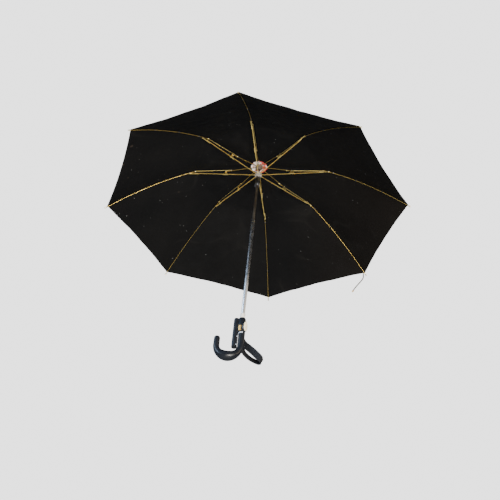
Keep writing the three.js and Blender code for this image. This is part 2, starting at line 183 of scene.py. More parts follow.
def lathe(profile, sides=64):
    """A solid turned about Z from [radius, z] points; a profile that doesn't touch the axis is a ring."""
    profile = np.asarray(profile, float)
    angle = circle(sides)
    rings = [np.stack([r * np.cos(angle), r * np.sin(angle), np.full(sides, z)], 1) for r, z in profile]
    on_axis = profile[0][0] < 1e-9 and profile[-1][0] < 1e-9
    if not on_axis:
        return swept(rings, closed=True)
    verts, faces = swept(rings)
    return verts, faces[:-2]


def moved(shell, by):
    return shell[0] + np.asarray(by, float), shell[1]


def turned(shell, matrix):
    return shell[0] @ np.array(matrix.to_3x3()).T, shell[1]


def across(shell, centre):
    """A shell turned about Z, laid with its axis across the rib plane at a pivot."""
    verts = shell[0]
    return np.stack([verts[:, 0] + centre[0], verts[:, 2], verts[:, 1] + centre[1]], 1), shell[1]


def to_arm(shell, arm):
    """A shell drawn in a rib plane, turned to its arm."""
    return turned(shell, Matrix.Rotation(azimuth(arm), 3, "Z"))


def oval_ring(centre, right, up, angle, wide, high):
    """Points of an oval round a centre, on two directions."""
    return centre + np.outer(wide * np.cos(angle), right) + np.outer(high * np.sin(angle), up)


def shade(mesh, angle):
    """Smooth shading, with edges sharper than the angle left crisp."""
    mesh.shade_smooth()
    mesh.set_sharp_from_angle(angle=radians(angle))


def mesh_of(name, shells):
    """One mesh from closed shells, with doubled points merged and every face turned outwards."""
    verts, faces, start = [], [], 0
    for shell_verts, shell_faces in shells:
        verts.append(shell_verts)
        faces += [tuple(i + start for i in f) for f in shell_faces]
        start += len(shell_verts)
    mesh = bpy.data.meshes.new(name)
    mesh.from_pydata(np.concatenate(verts).tolist(), [], faces)
    work = bmesh.new()
    work.from_mesh(mesh)
    bmesh.ops.remove_doubles(work, verts=work.verts, dist=1e-7)
    bmesh.ops.recalc_face_normals(work, faces=work.faces)
    work.to_mesh(mesh)
    work.free()
    return mesh


def object_of(name, mesh):
    made = bpy.data.objects.new(name, mesh)
    bpy.context.scene.collection.objects.link(made)
    return made


def piece(name, shells, look, body, stands_for=(), sharp=38):
    """Joins closed shells into one object that rides on a body."""
    mesh = mesh_of(name, shells)
    shade(mesh, sharp)
    mesh.materials.append(look)
    return settled(object_of(name, mesh), body, stands_for)


def settled(made, body, stands_for=()):
    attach(made, body)
    if stands_for:
        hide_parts(*stands_for)
    return made


def cut_by(made, shells):
    """Adds a cut by closed shells; gives back the tool, which goes once the cut is applied."""
    tool = object_of("cutters", mesh_of("cutters", shells))
    cut = made.modifiers.new("cut", "BOOLEAN")
    cut.operation = "DIFFERENCE"
    cut.object = tool
    cut.solver = "EXACT"
    return tool


def baked(made):
    """Applies an object's modifiers."""
    bpy.context.view_layer.update()
    graph = bpy.context.evaluated_depsgraph_get()
    mesh = bpy.data.meshes.new_from_object(made.evaluated_get(graph))
    made.modifiers.clear()
    old = made.data
    made.data = mesh
    bpy.data.meshes.remove(old)
    return made


# ---- materials ----
def add_node(tree, kind, output, sockets, **settings):
    """Adds a shader node, sets or links its sockets by name, and gives back one of its outputs."""
    node = tree.nodes.new("ShaderNode" + kind)
    for name, value in settings.items():
        setattr(node, name, value)
    for name, value in sockets.items():
        socket = node.inputs[name]
        if isinstance(value, bpy.types.NodeSocket):
            tree.links.new(value, socket)
        elif socket.type == "RGBA":
            socket.default_value = (*value, 1.0)
        else:
            socket.default_value = value
    return node.outputs[output]


NOISE_ROUGHNESS = 0.55


class Look:
    """A Principled material whose colour, roughness and bump come from procedural nodes."""

    SOCKETS = {
        "specular": "Specular IOR Level",
        "sheen": "Sheen Weight",
        "coat": "Coat Weight",
        "coat_roughness": "Coat Roughness",
    }
    EVEN = (1, 1, 1)

    def __init__(self, name, roughness, metallic=0.0, **sockets):
        self.material = bpy.data.materials.new(name)
        self.material.use_nodes = True
        self.tree = self.material.node_tree
        self.shader = self.tree.nodes["Principled BSDF"]
        self.shader.inputs["Roughness"].default_value = roughness
        self.shader.inputs["Metallic"].default_value = metallic
        for socket, value in sockets.items():
            self.shader.inputs[self.SOCKETS[socket]].default_value = value
        self.place = self.add("TexCoord", "Object", {})
        self.relief = None

    def add(self, kind, output, sockets, **settings):
        return add_node(self.tree, kind, output, sockets, **settings)

    def scaled(self, stretch=EVEN):
        return self.add("Mapping", "Vector", {"Vector": self.place, "Scale": stretch})

    def coordinate(self, axis):
        return self.add("SeparateXYZ", axis, {"Vector": self.place})

    def noise(self, scale, detail, stretch=EVEN):
        sockets = {"Scale": scale, "Detail": detail, "Roughness": NOISE_ROUGHNESS}
        return self.add("TexNoise", "Fac", {"Vector": self.scaled(stretch), **sockets})

    def threads(self, pitch, direction):
        """Ridges a pitch apart along X, Y or Z."""
        sockets = {"Vector": self.scaled(), "Scale": pi / 10 / pitch, "Distortion": 0.6, "Detail": 1.0}
        return self.add("TexWave", "Fac", sockets, bands_direction=direction)

    def spots(self, scale, low, high):
        """1 in the middle of scattered cells, 0 outside them."""
        distance = self.add("TexVoronoi", "Distance", {"Vector": self.scaled(), "Scale": scale})
        return self.stepped(distance, high, low)

    def stepped(self, value, low, high, to=(0, 1)):
        """Maps a range of a value to another, held at its ends."""
        sockets = {"Value": value, "From Min": low, "From Max": high, "To Min": to[0], "To Max": to[1]}
        return self.add("MapRange", "Result", sockets)

    def patches(self, scale, detail, low, high, to=(0, 1)):
        """Noise with a range of it mapped to another."""
        return self.stepped(self.noise(scale, detail), low, high, to)

    def times(self, first, second):
        return self.maths("MULTIPLY", first, second)

    def plus(self, first, second):
        return self.maths("ADD", first, second)

    def maths(self, operation, first, second):
        return self.add("Math", "Value", {0: first, 1: second}, operation=operation)

    def mixed(self, factor, first, second):
        """Colour that goes from the first to the second; each is a colour or another mix."""
        return self.add("Mix", "Result", {"Factor": factor, "A": first, "B": second}, data_type="RGBA")

    def colour(self, value):
        self.tree.links.new(value, self.shader.inputs["Base Color"])

    def roughness(self, value):
        self.tree.links.new(value, self.shader.inputs["Roughness"])

    def bump(self, height, distance, strength):
        sockets = {"Height": height, "Distance": distance, "Strength": strength}
        if self.relief is not None:
            sockets["Normal"] = self.relief
        self.relief = self.add("Bump", "Normal", sockets)
        self.tree.links.new(self.relief, self.shader.inputs["Normal"])


def canopy_look():
    """Near-black pongee: a fine weave, painted highlights along faint crease lines, brown water marks, dust,
    and painted warmer light on the right side.
    """
    look = Look("canopy_cloth", 0.8, specular=0.06, sheen=0.0)
    base = look.mixed(look.patches(5, 3, 0.35, 0.7), (0.0024, 0.0024, 0.0026), (0.0042, 0.0040, 0.0040))
    # painted light: the cloth is tinted warmer towards +X, standing in for the warm lamp on that side
    warm = look.stepped(look.coordinate("X"), 0.1, 0.45, (0, 0.6))
    base = look.mixed(warm, base, (0.0060, 0.0042, 0.0028))
    # painted highlights: thin noise lines are lightened as if light caught the crease ridges
    lines = look.maths("ABSOLUTE", look.maths("SUBTRACT", look.noise(5.5, 1), 0.5), 0)
    painted_crease_highlights = look.times(look.stepped(lines, 0.02, 0), look.patches(9, 1, 0.5, 0.62))
    base = look.mixed(look.times(painted_crease_highlights, 0.22), base, (0.012, 0.011, 0.010))
    marks = look.times(look.spots(17, 0.07, 0.11), look.patches(2.3, 1, 0.52, 0.58))
    base = look.mixed(look.times(marks, 0.7), base, (0.032, 0.024, 0.018))
    specks = look.times(look.spots(80, 0.05, 0.10), look.patches(26, 2, 0.56, 0.64))
    look.colour(look.mixed(specks, base, (0.16, 0.16, 0.155)))
    look.roughness(look.patches(40, 3, 0.3, 0.7, (0.74, 0.9)))
    look.bump(look.plus(look.threads(0.00045, "X"), look.threads(0.00045, "Y")), 0.00006, 0.5)
    look.bump(look.noise(90, 4), 0.0006, 0.35)
    return look.material


def metal_look(name, bright, dark, roughness, streak=(1, 1, 1), wear=0.12, worn=(0.3, 0.26, 0.2)):
    """Metal with drawn streaks, a little tarnish in patches and dull spots."""
    look = Look(name, roughness, 1.0)
    tarnish = look.patches(38, 5, 0.38, 0.68)
    base = look.mixed(tarnish, bright, dark)
    spots = look.patches(260, 4, 0.68, 0.74, (0, wear))
    look.colour(look.mixed(spots, base, worn))
    streaks = look.noise(900, 3, streak)
    look.roughness(look.stepped(streaks, 0.3, 0.7, (roughness * 0.75, roughness * 1.35)))
    look.bump(streaks, 0.00002, 0.5)
    return look.material


def plastic_look(name, colour, second, roughness, coat=0.4, specular=0.5, grain=0.00004):
    """Moulded plastic: slow waviness, fine grain, and hair scratches that dull it."""
    look = Look(name, roughness, 0.0, coat=coat, coat_roughness=0.12, specular=specular)
    look.colour(look.mixed(look.patches(55, 4, 0.35, 0.7), colour, second))
    scratches = look.stepped(look.noise(420, 2, (1, 1, 0.06)), 0.6, 0.72)
    smears = look.patches(70, 3, 0.35, 0.75, (roughness * 0.8, roughness * 1.5))
    look.roughness(look.plus(smears, look.times(scratches, 0.12)))
    look.bump(look.noise(1500, 2), grain, 0.5)
    look.bump(look.noise(120, 2), 0.0002, 0.25)
    return look.material


def webbing_look():
    """Black nylon webbing: cross ribs with a twill between them."""
    look = Look("webbing", 0.62, specular=0.14, sheen=0.0)
    ribs = look.plus(look.threads(0.0011, "Z"), look.threads(0.0016, "X"))
    tone = look.stepped(ribs, 0.4, 1.6)
    base = look.mixed(tone, (0.0020, 0.0025, 0.0036), (0.0070, 0.0080, 0.0110))
    lint = look.patches(700, 2, 0.68, 0.76, (0, 0.4))
    look.colour(look.mixed(lint, base, (0.05, 0.05, 0.055)))
    look.roughness(look.patches(300, 3, 0.3, 0.7, (0.5, 0.75)))
    look.bump(ribs, 0.0003, 0.8)
    look.bump(look.noise(1400, 3), 0.0002, 0.4)
    return look.material


def rosette_look():
    """Off-white cotton with a small red and brown all-over print."""
    look = Look("rosette_cloth", 0.85, sheen=0.2)
    faded = look.patches(90, 3, 0.3, 0.7)
    cloth = look.mixed(faded, (0.80, 0.74, 0.68), (0.58, 0.50, 0.44))
    half = look.stepped(look.coordinate("X"), -0.006, 0.008)
    biased = look.plus(look.noise(75, 1.5), look.times(half, 0.13))
    blots = look.stepped(biased, 0.56, 0.60)
    cloth = look.mixed(blots, cloth, (0.50, 0.020, 0.016))
    dots = look.times(look.spots(190, 0.16, 0.24), 0.8)
    look.colour(look.mixed(dots, cloth, (0.09, 0.02, 0.016)))
    weave = look.plus(look.threads(0.0005, "X"), look.threads(0.0005, "Y"))
    look.bump(weave, 0.0001, 0.6)
    return look.material


def thread_look(name, light, dark, pitch=0.0009):
    """Twisted thread or cord: light and dark plies."""
    look = Look(name, 0.6, sheen=0.3)
    plies = look.patches(1 / pitch, 2, 0.4, 0.6)
    look.colour(look.mixed(plies, light, dark))
    look.bump(look.noise(2400, 2), 0.0001, 0.5)
    return look.material


CANOPY = canopy_look()
BRASS = metal_look("brass_bright", (1.0, 0.79, 0.28), (0.88, 0.66, 0.20), 0.32)
BRASS_DARK = metal_look("brass_dull", (0.50, 0.36, 0.11), (0.32, 0.22, 0.06), 0.46)
RIVET = metal_look("rivet_steel", (0.72, 0.68, 0.60), (0.5, 0.45, 0.36), 0.25)
TIP_METAL = metal_look("tip_metal", (0.80, 0.66, 0.38), (0.55, 0.42, 0.2), 0.25)
CHROME = metal_look("chrome_lower", (0.90, 0.91, 0.94), (0.78, 0.79, 0.84), 0.24, (1, 1, 0.04), 0.3)
CHROME_DULL = metal_look("chrome_upper", (0.20, 0.17, 0.14), (0.12, 0.10, 0.08), 0.38, (1, 1, 0.04), 0.3)
SLEEVE = metal_look("sleeve_metal", (0.30, 0.30, 0.32), (0.18, 0.18, 0.20), 0.28, (1, 1, 0.1))
WIRE = metal_look("wire", (0.66, 0.66, 0.68), (0.5, 0.5, 0.52), 0.3)
GOLD = metal_look("badge_gold", (0.90, 0.56, 0.16), (0.74, 0.42, 0.10), 0.36)
BUTTON = plastic_look("button_cream", (0.74, 0.66, 0.48), (0.62, 0.53, 0.36), 0.38, 0.2)
IVORY = plastic_look("ivory_plastic", (0.62, 0.60, 0.56), (0.50, 0.48, 0.44), 0.4, 0.2)
BLACK = plastic_look("black_gloss", (0.0022, 0.0030, 0.0050), (0.0040, 0.0052, 0.0080), 0.34, 0.02, 0.2)
HUB = plastic_look("crown_plastic", (0.10, 0.075, 0.06), (0.06, 0.045, 0.035), 0.45, 0.1)
RUNNER = plastic_look("runner_plastic", (0.26, 0.24, 0.21), (0.18, 0.16, 0.14), 0.45, 0.1)
GREY = plastic_look("slider_grey", (0.40, 0.44, 0.52), (0.30, 0.33, 0.39), 0.35, 0.2)
WEBBING = webbing_look()
ROSETTE = rosette_look()
THREAD = thread_look("black_thread", (0.020, 0.020, 0.022), (0.008, 0.008, 0.009))
STITCH = thread_look("strap_thread", (0.035, 0.037, 0.044), (0.014, 0.015, 0.018))
CORD = thread_look("tie_cord", (0.045, 0.031, 0.009), (0.004, 0.003, 0.002), 0.0022)


# ---- closing tie: a cord from the hem beside arm 8, with a bead on its end ----
TIE_ROUTE = metres([
    [472, 6, -181], [473, 6.2, -184], [473.2, 6.8, -188], [472.8, 8, -192], [471.8, 9.6, -196],
    [470.4, 11.6, -200], [468.8, 13.8, -204], [467, 16.2, -208], [465.2, 18.8, -212], [463.4, 21.5, -216],
    [461.7, 24.2, -220], [460.2, 27, -224], [458.8, 29.8, -228], [457.6, 32.4, -232], [456.6, 34.8, -236],
])
TIE_DIAMETER = 0.004
TIE_PLIES = 3
TIE_TWIST = 180  # turns in a metre
TAB_ROUTE = metres([[472.5, 5.4, -171.8], [472.4, 5.7, -176], [472.2, 6, -181], [472.8, 6.2, -184.5]])
TAB_STEPS = 12
TAB_HALF_WIDTH = 0.0021
TAB_HALF_THICKNESS = (0.0007, 0.0018)  # at the hem and at the tie
BEAD_RADIUS = 0.0032
BEAD_HOLE = 0.0009


SPLINE_STEPS = 12  # between two given points


def curve_through(points, steps):
    """Evenly spaced points on a smooth curve through the given ones."""
    points = np.asarray(points, float)
    knots = np.concatenate([[0], np.cumsum(np.linalg.norm(np.diff(points, axis=0), axis=1) ** 0.5)])
    padded = np.concatenate([[2 * points[0] - points[1]], points, [2 * points[-1] - points[-2]]])
    times = np.concatenate([[-knots[1]], knots, [2 * knots[-1] - knots[-2]]])
    fine = []
    for i in range(len(points) - 1):
        p, t = padded[i : i + 4], times[i : i + 4]
        for u in np.linspace(t[1], t[2], SPLINE_STEPS, endpoint=False):
            a = [p[j] + (p[j + 1] - p[j]) * (u - t[j]) / (t[j + 1] - t[j]) for j in range(3)]
            b = [a[j] + (a[j + 1] - a[j]) * (u - t[j]) / (t[j + 2] - t[j]) for j in range(2)]
            fine.append(b[0] + (b[1] - b[0]) * (u - t[1]) / (t[2] - t[1]))
    fine = np.array([*fine, points[-1]])
    length = np.concatenate([[0], np.cumsum(np.linalg.norm(np.diff(fine, axis=0), axis=1))])
    even = np.linspace(0, length[-1], steps)
    return np.stack([np.interp(even, length, fine[:, k]) for k in range(3)], 1), length[-1]


def twisted(path, radius, lobes, turns_per_metre, sides=18):
    """A rope of twisted plies along a path of evenly spaced points."""
    along = tangents(path)
    side = np.cross(along[0], (0, 0, 1.0))
    rings = []
    travel = np.linalg.norm(path[1] - path[0])
    for i, centre in enumerate(path):
        side = unit_of(side - along[i] * (side @ along[i]))
        other = np.cross(along[i], side)
        angle = circle(sides)
        turn = turns_per_metre * travel * i * 2 * pi
        swell = radius * (0.9 + 0.1 * np.cos(lobes * (angle - turn)))
        rings.append(oval_ring(centre, side, other, angle, swell, swell))
    return swept(rings)


def make_tie():
    turn = np.array(Matrix.Rotation(azimuth(8), 3, "Z"))
    route = (TIE_ROUTE + [0, 0, CROWN_Z]) @ turn.T
    path, length = curve_through(route, 120)
    rope = twisted(path, TIE_DIAMETER / 2, TIE_PLIES, TIE_TWIST)
    cord = piece("tie", [rope], CORD, "outer_rib_8", ["closure_tie"], sharp=180)
    end = unit_of(path[-1] - path[-2])
    spin = Vector((0, 0, 1)).rotation_difference(Vector(end)).to_matrix()
    low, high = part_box("tie_bead")
    centre = (low + high) / 2
    arc = np.linspace(0.32, pi - 0.32, 15)
    ball = [(BEAD_RADIUS * sin(a), -BEAD_RADIUS * cos(a)) for a in arc]
    hole = [(BEAD_HOLE, ball[-1][1] - 0.0002), (BEAD_HOLE, ball[0][1] + 0.0002)]
    bead_shell = moved(turned(lathe([*ball, *hole], 40), spin), centre)
    bead = piece("bead", [bead_shell], GOLD, "outer_rib_8", ["tie_bead"], sharp=50)
    stop = centre + Vector(end) * BEAD_RADIUS
    lump = [(0.0014 * sin(a), -0.0012 * cos(a)) for a in np.linspace(0, pi, 9)]
    back = -2 * BEAD_RADIUS - 0.0006
    stem = lathe([(0, back), (0.0007, back), (0.0007, 0), (0, 0)], 16)
    knot_shells = [moved(turned(s, spin), stop) for s in (lathe(lump, 18), stem)]
    knot = piece("tie_knot", knot_shells, CORD, "outer_rib_8", sharp=60)
    tab_path = curve_through((TAB_ROUTE + [0, 0, CROWN_Z]) @ turn.T, TAB_STEPS)[0]
    broad, deep = turn @ (0, 1, 0), turn @ (1, 0, 0)
    tab_rings = []
    for at, thick in zip(tab_path, np.linspace(*TAB_HALF_THICKNESS, TAB_STEPS)):
        tab_rings.append(oval_ring(at, broad, deep, circle(20), TAB_HALF_WIDTH, thick))
    piece("tie_tab", [swept(tab_rings)], THREAD, "outer_rib_8", sharp=50)


make_tie()

# ---- canopy ----
CLOTH = 0.0003
RISE = 0.0044  # of the cloth over the outer rib's centre line
INNER = 0.0064
KNEE = 0.209
KNEE_SHARE = 0.43
EDGE = 0.474
SHARES, RADII = [0, KNEE_SHARE, 1], [INNER, KNEE, EDGE]
HEM_START = 0.36
HEM_DIP = 0.007
SAG = 0.007
ARC = 0.55  # from the crown to the hem, along a rib
SEAM = 0.003  # width of the doubled cloth at a seam
HEM = 0.006
CROWN_FOLD = 0.0006
TIP_FOLD = 0.0009
HEM_RIPPLE = 0.0003
UNEVEN = 0.0014
UNEVEN_SCALE = 16
PUCKER = 0.00045
PUCKER_PITCH = 0.017
PUCKER_REACH = 0.012
HALF_GORE = pi / ARMS


def rib_line(share):
    """Radius and height of the cloth over a rib, from the crown at 0 to the tip at 1."""
    radius = np.interp(share, SHARES, RADII)
    knee_height = rib_height(np.array(KNEE)) + RISE
    straight = np.interp(share, SHARES[:2], [CROWN_Z - 0.0009, knee_height])
    to_tip = np.interp(share, SHARES[1:], [0, 1])
    return radius, np.where(share <= KNEE_SHARE, straight, rib_height(radius) + RISE - 0.001 * to_tip)


def share_at(radius):
    return float(np.interp(radius, RADII, SHARES))


ZONES = [0, share_at(MIDDLE_PIVOT[0]), share_at(ELBOW[0]), share_at(HEM_START), 1]
ZONE_NAMES = ["inner", "middle", "outer", "hem"]
ZONE_BODIES = ["crown_rib", "stretcher", "outer_rib", "outer_rib"]
ZONE_STEPS = [22, 26, 34, 40]
HALF_STEPS = 18


def cloth_grid(gore):
    """Middle surface, outward normals and half thickness of a gore, from the crown down and across."""
    shares = [np.linspace(ZONES[i], ZONES[i + 1], ZONE_STEPS[i] + 1)[1:] for i in range(4)]
    share = np.concatenate([[0.0], *shares])[:, None]
    half = 1 - (1 - np.linspace(0, 1, HALF_STEPS + 1)) ** 1.5
    across_share = np.concatenate([-half[::-1], half[1:]])[None, :]
    radius, height = rib_line(share)
    belly = 1 - across_share**2
    side_half = radius * sin(HALF_GORE)
    to_seam = (1 - np.abs(across_share)) * side_half
    edge_run = (1 - share) * ARC
    phase = 1.7 * gore
    reach = radius * cos(HALF_GORE) - HEM_DIP * belly * share**3
    fall = SAG * belly * np.sin(pi * share)
    crown_folds = CROWN_FOLD * np.sin(13 * across_share + phase) * np.exp(-(((share - 0.22) / 0.2) ** 2))
    pull = np.abs(across_share) * 9 - share * 7 + phase
    tip_folds = TIP_FOLD * np.sin(pull) * share**2 * np.sqrt(np.maximum(belly, 0))
    length = share * ARC
    wave = np.sin(2 * pi * length / PUCKER_PITCH + phase)
    pucker = PUCKER * wave * np.exp(-to_seam / PUCKER_REACH) * (1 - np.exp(-to_seam / SEAM))
    hem_ripple = HEM_RIPPLE * np.sin(26 * across_share + phase) * np.exp(-edge_run / 0.02) * belly
    seed = 31.7 * gore
    rough = np.zeros_like(fall)
    for i in range(rough.shape[0]):
        for j in range(rough.shape[1]):
            beside = float(across_share[0, j] * side_half[i, 0])
            spot = Vector((length[i, 0] * UNEVEN_SCALE + seed, beside * UNEVEN_SCALE, gore))
            rough[i, j] = noise.fractal(spot, 0.9, 2.1, 3)
    ripples = (crown_folds + UNEVEN * rough) * belly + tip_folds + pucker + hem_ripple
    drop = fall + np.where(share > 0.02, ripples, 0)
    mid = azimuth(1) - (gore - 0.5) * 2 * HALF_GORE
    side = across_share * side_half
    x = reach * cos(mid) - side * sin(mid)
    y = reach * sin(mid) + side * cos(mid)
    points = np.stack([x, y, height - drop], -1)
    down_run, side_run = np.gradient(points, axis=0), np.gradient(points, axis=1)
    normal = np.cross(down_run, side_run)
    normal /= np.linalg.norm(normal, axis=-1)[..., None]
    doubled = np.exp(-((to_seam / SEAM) ** 4)) + np.exp(-((edge_run / HEM) ** 6))
    thick = CLOTH / 2 * (1 + 1.6 * np.clip(doubled, 0, 1)) * np.ones_like(fall)
    return points, normal, thick


def panel(name, grid, rows, columns):
    """A closed two-sided shell of part of a gore, shaded with the whole gore's normals."""
    points, normal, thick = (a[rows[0] : rows[1] + 1, columns[0] : columns[1] + 1] for a in grid)
    m, n = points.shape[:2]
    top = (points + normal * thick[..., None]).reshape(-1, 3)
    bottom = (points - normal * thick[..., None]).reshape(-1, 3)
    flat_normal = normal.reshape(-1, 3)
    faces, loop_normals = [], []
    for i in range(m - 1):
        for j in range(n - 1):
            quad = [i * n + j, (i + 1) * n + j, (i + 1) * n + j + 1, i * n + j + 1]
            faces.append(quad)
            loop_normals += [flat_normal[k] for k in quad]
            faces.append([k + m * n for k in reversed(quad)])
            loop_normals += [-flat_normal[k] for k in reversed(quad)]
    border = [*range(n)] + [i * n + n - 1 for i in range(1, m)]
    border += [(m - 1) * n + j for j in range(n - 2, -1, -1)] + [i * n for i in range(m - 2, 0, -1)]
    for a, b in zip(border, border[1:] + border[:1]):
        faces.append([a, b, b + m * n, a + m * n])
        outward = np.cross(top[b] - top[a], flat_normal[a])
        loop_normals += [outward / (np.linalg.norm(outward) + 1e-12)] * 4
    mesh = bpy.data.meshes.new(name)
    mesh.from_pydata(np.concatenate([top, bottom]).tolist(), [], faces)
    mesh.shade_smooth()
    mesh.normals_split_custom_set([tuple(v) for v in loop_normals])
    mesh.materials.append(CANOPY)
    return object_of(name, mesh)


def make_canopy():
    """Two half panels to a gore, each ridden by its own arm and cut at the arm's pivots."""
    rows = np.concatenate([[0], np.cumsum(ZONE_STEPS)])
    for gore in range(1, ARMS + 1):
        grid = cloth_grid(gore)
        sides = [(gore, -1, "a", (HALF_STEPS, 2 * HALF_STEPS)), (gore % ARMS + 1, 1, "b", (0, HALF_STEPS))]
        for arm, sign, edge, columns in sides:
            for zone, (zone_name, stem) in enumerate(zip(ZONE_NAMES, ZONE_BODIES)):
                name, body = f"canopy_{arm}{edge}_{zone_name}", f"{stem}_{arm}"
                made = panel(name, grid, rows[zone : zone + 2], columns)
                node = [f"canopy_gore_{gore}"] if zone == 0 and sign < 0 else ()
                settled(made, body, node)
                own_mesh(made)


make_canopy()


# ---- frame arms ----
def bar(path, section):
    """Sweeps a section of (across, up) points along a line in the rib plane."""
    path = np.asarray(path, float)
    along = tangents(path)
    up = np.stack([-along[:, 1], along[:, 0]], 1)
    rings = []
    for i, (centre, lift) in enumerate(zip(path, up)):
        shape = section(i / (len(path) - 1)) if callable(section) else section
        rings.append([(centre[0] + lift[0] * n, y, centre[1] + lift[1] * n) for y, n in shape])
    return swept(rings)


def channel(width, height, wall):
    """Section of a folded channel, open downwards."""
    w, h = width / 2, height / 2
    inner, roof = w - wall, h - wall
    outside = [(-w, -h), (-w, roof), (-inner, h), (inner, h), (w, roof), (w, -h)]
    return [*outside, (inner, -h), (inner, roof), (-inner, roof), (-inner, -h)]


def oblong(width, height, y=0.0):
    """Oval section."""
    angle = circle(14)
    return [(y + width / 2 * cos(a), height / 2 * sin(a)) for a in angle]


def eye(centre, radius, hole, y0, y1):
    """A flattened eye with rounded rims and a hole through it."""
    soft = min(0.0003, (y1 - y0) / 4)
    rim = [(radius - soft, y0), (radius, y0 + soft), (radius, y1 - soft), (radius - soft, y1)]
    return across(lathe([(hole, y0), *rim, (hole, y1)], 28), centre)


def rivet(centre, y0, y1, shank=0.0008, head=0.0016):
    """A rivet through a pivot, with a domed head at each end."""
    dome = [(head * cos(a), head * 0.45 * sin(a)) for a in np.linspace(0, pi / 2, 5)]
    low = [(r, y0 - h) for r, h in reversed(dome)]
    high = [(r, y1 + h) for r, h in dome]
    return across(lathe([*low, (head, y0), (shank, y0), (shank, y1), (head, y1), *high], 24), centre)


def between(a, b, count=2):
    return [a + (b - a) * t for t in np.linspace(0, 1, count)]


def trimmed(a, b, start, end):
    """The line from a to b without its first and last stretch."""
    unit = unit_of(b - a)
    return a + unit * start, b - unit * end


ALONG_STRETCHER = unit_of(ELBOW - RUNNER_PIVOT)
CROWN_CHANNEL = metres([1.4, 2.0, 0.3])
STRETCHER_CHANNEL = metres([1.8, 2.2, 0.4])
LINK_OVAL = metres([1.0, 1.8])
OUTER_OVAL = metres([1.2, 1.8])
EYE = 0.0020
PIN_HOLE = 0.00095
SMALL_HOLE = 0.0007
RIB_HALF = 0.0012
EAR_OUT, EAR_IN = -0.0026, -0.0016
EAR_FOOT = 0.009
EAR_HEAD = metres([[1.8, 0.4], [1.1, 1.6], [-1.1, 1.6], [-1.8, 0.4]])
CHANNEL_SHORT = 0.017  # of the elbow, where the tongue takes over
TONGUE = 0.030
TONGUE_HALF = 0.0013
TONGUE_RIVETS = (0.027, 0.020)
LINK_IN, LINK_OUT = 0.00165, 0.00275


def crown_rib_shells():
    start, end = trimmed(CROWN_PIVOT, MIDDLE_PIVOT, EYE * 0.8, EYE * 0.8)
    shells = [bar(between(start, end, 3), channel(*CROWN_CHANNEL))]
    shells += [eye(p, EYE, PIN_HOLE, -RIB_HALF, RIB_HALF) for p in (CROWN_PIVOT, MIDDLE_PIVOT)]
    shells.append(eye(LINK_ROOT, EYE * 0.9, PIN_HOLE, -RIB_HALF, RIB_HALF))
    return shells


def stretcher_ear():
    """Side plate that stands on the channel and carries the middle pivot."""
    unit = ALONG_STRETCHER
    foot = RUNNER_PIVOT + unit * (MIDDLE_PIVOT[0] - RUNNER_PIVOT[0]) + [0, -0.0012]
    top = MIDDLE_PIVOT + [0, 0.0002]
    outline = [foot - unit * EAR_FOOT, foot + unit * EAR_FOOT, *(top + EAR_HEAD)]
    return swept([[(x, y, z) for x, z in outline] for y in (EAR_OUT, EAR_IN)])


def stretcher_shells():
    unit = ALONG_STRETCHER
    start, end = trimmed(RUNNER_PIVOT, ELBOW, 0.0014, CHANNEL_SHORT)
    shells = [bar(between(start, end, 5), channel(*STRETCHER_CHANNEL))]
    shells.append(eye(RUNNER_PIVOT, EYE * 0.9, PIN_HOLE, -0.0016, 0.0016))
    shells.append(stretcher_ear())
    tongue = between(ELBOW - unit * TONGUE, ELBOW - unit * 0.0012, 3)
    inside, half = EAR_IN + 0.0003, TONGUE_HALF
    flat = [(EAR_OUT, -half), (inside, -half), (inside, half), (EAR_OUT, half)]
    shells.append(bar(tongue, flat))
    shells.append(eye(ELBOW, EYE, 0.0008, EAR_OUT, EAR_IN))
    for back in TONGUE_RIVETS:
        shells.append(rivet(ELBOW - unit * back, EAR_OUT, -0.0010, 0.0007, 0.0012))
    return shells


def stretcher_rivets():
    return [rivet(MIDDLE_PIVOT, EAR_OUT, RIB_HALF), rivet(ELBOW, EAR_OUT, RIB_HALF)]


def link_shells():
    middle = (LINK_IN + LINK_OUT) / 2
    start, end = trimmed(LINK_ROOT, TAIL_END, 0.0010, 0.0010)
    shells = [bar(between(start, end, 4), oblong(*LINK_OVAL, middle))]
    shells += [eye(p, EYE * 0.85, SMALL_HOLE, LINK_IN, LINK_OUT) for p in (LINK_ROOT, TAIL_END)]
    return shells


def outer_rib_shells():
    path = [*between(TAIL_END, ELBOW, 5)[:-1], *rib_curve(np.linspace(0, 1, 40))]
    shells = [bar(path, oblong(*OUTER_OVAL))]
    shells.append(eye(ELBOW, EYE * 1.2, PIN_HOLE, -RIB_HALF, RIB_HALF))
    shells.append(eye(TAIL_END, EYE * 0.9, SMALL_HOLE, -RIB_HALF, RIB_HALF))
    return shells


TIP_NECK = metres([[1.9, -4.6], [1.6, -4.2], [1.3, -3.0], [1.3, -2.4]])
TIP_BALL = 0.0023
TIP_START = 0.972  # share of the rib's curve that the metal end leaves bare


def tip_shells():
    """Metal end with a collar, a neck for the thread and a ball."""
    a, b = rib_curve(np.array([TIP_START, 1.0]))
    run = float(np.linalg.norm(b - a))
    collar = [(0, -run), (0.0016, -run), (0.0019, -run + 0.0006)]
    angle = np.linspace(0.6, pi, 10)
    ball = np.stack([TIP_BALL * np.sin(angle), -0.0003 - TIP_BALL * np.cos(angle)], 1)
    verts, faces = lathe([*collar, *TIP_NECK, *ball[:-1], (0, ball[-1][1])], 24)
    unit = (b - a) / run
    turn = np.array([[unit[1], 0, unit[0]], [0, 1, 0], [-unit[0], 0, unit[1]]])
    return [(verts @ turn.T + np.array([b[0] - 0.0006, 0, b[1] + 0.0005]), faces)]


THREAD_RADIUS = 0.00028
THREAD_PITCH = 0.0007
LOOP_HALF_HEIGHT = 0.0028
LOOP_HALF_WIDTH = 0.0017
LOOP_RISE = 0.0011


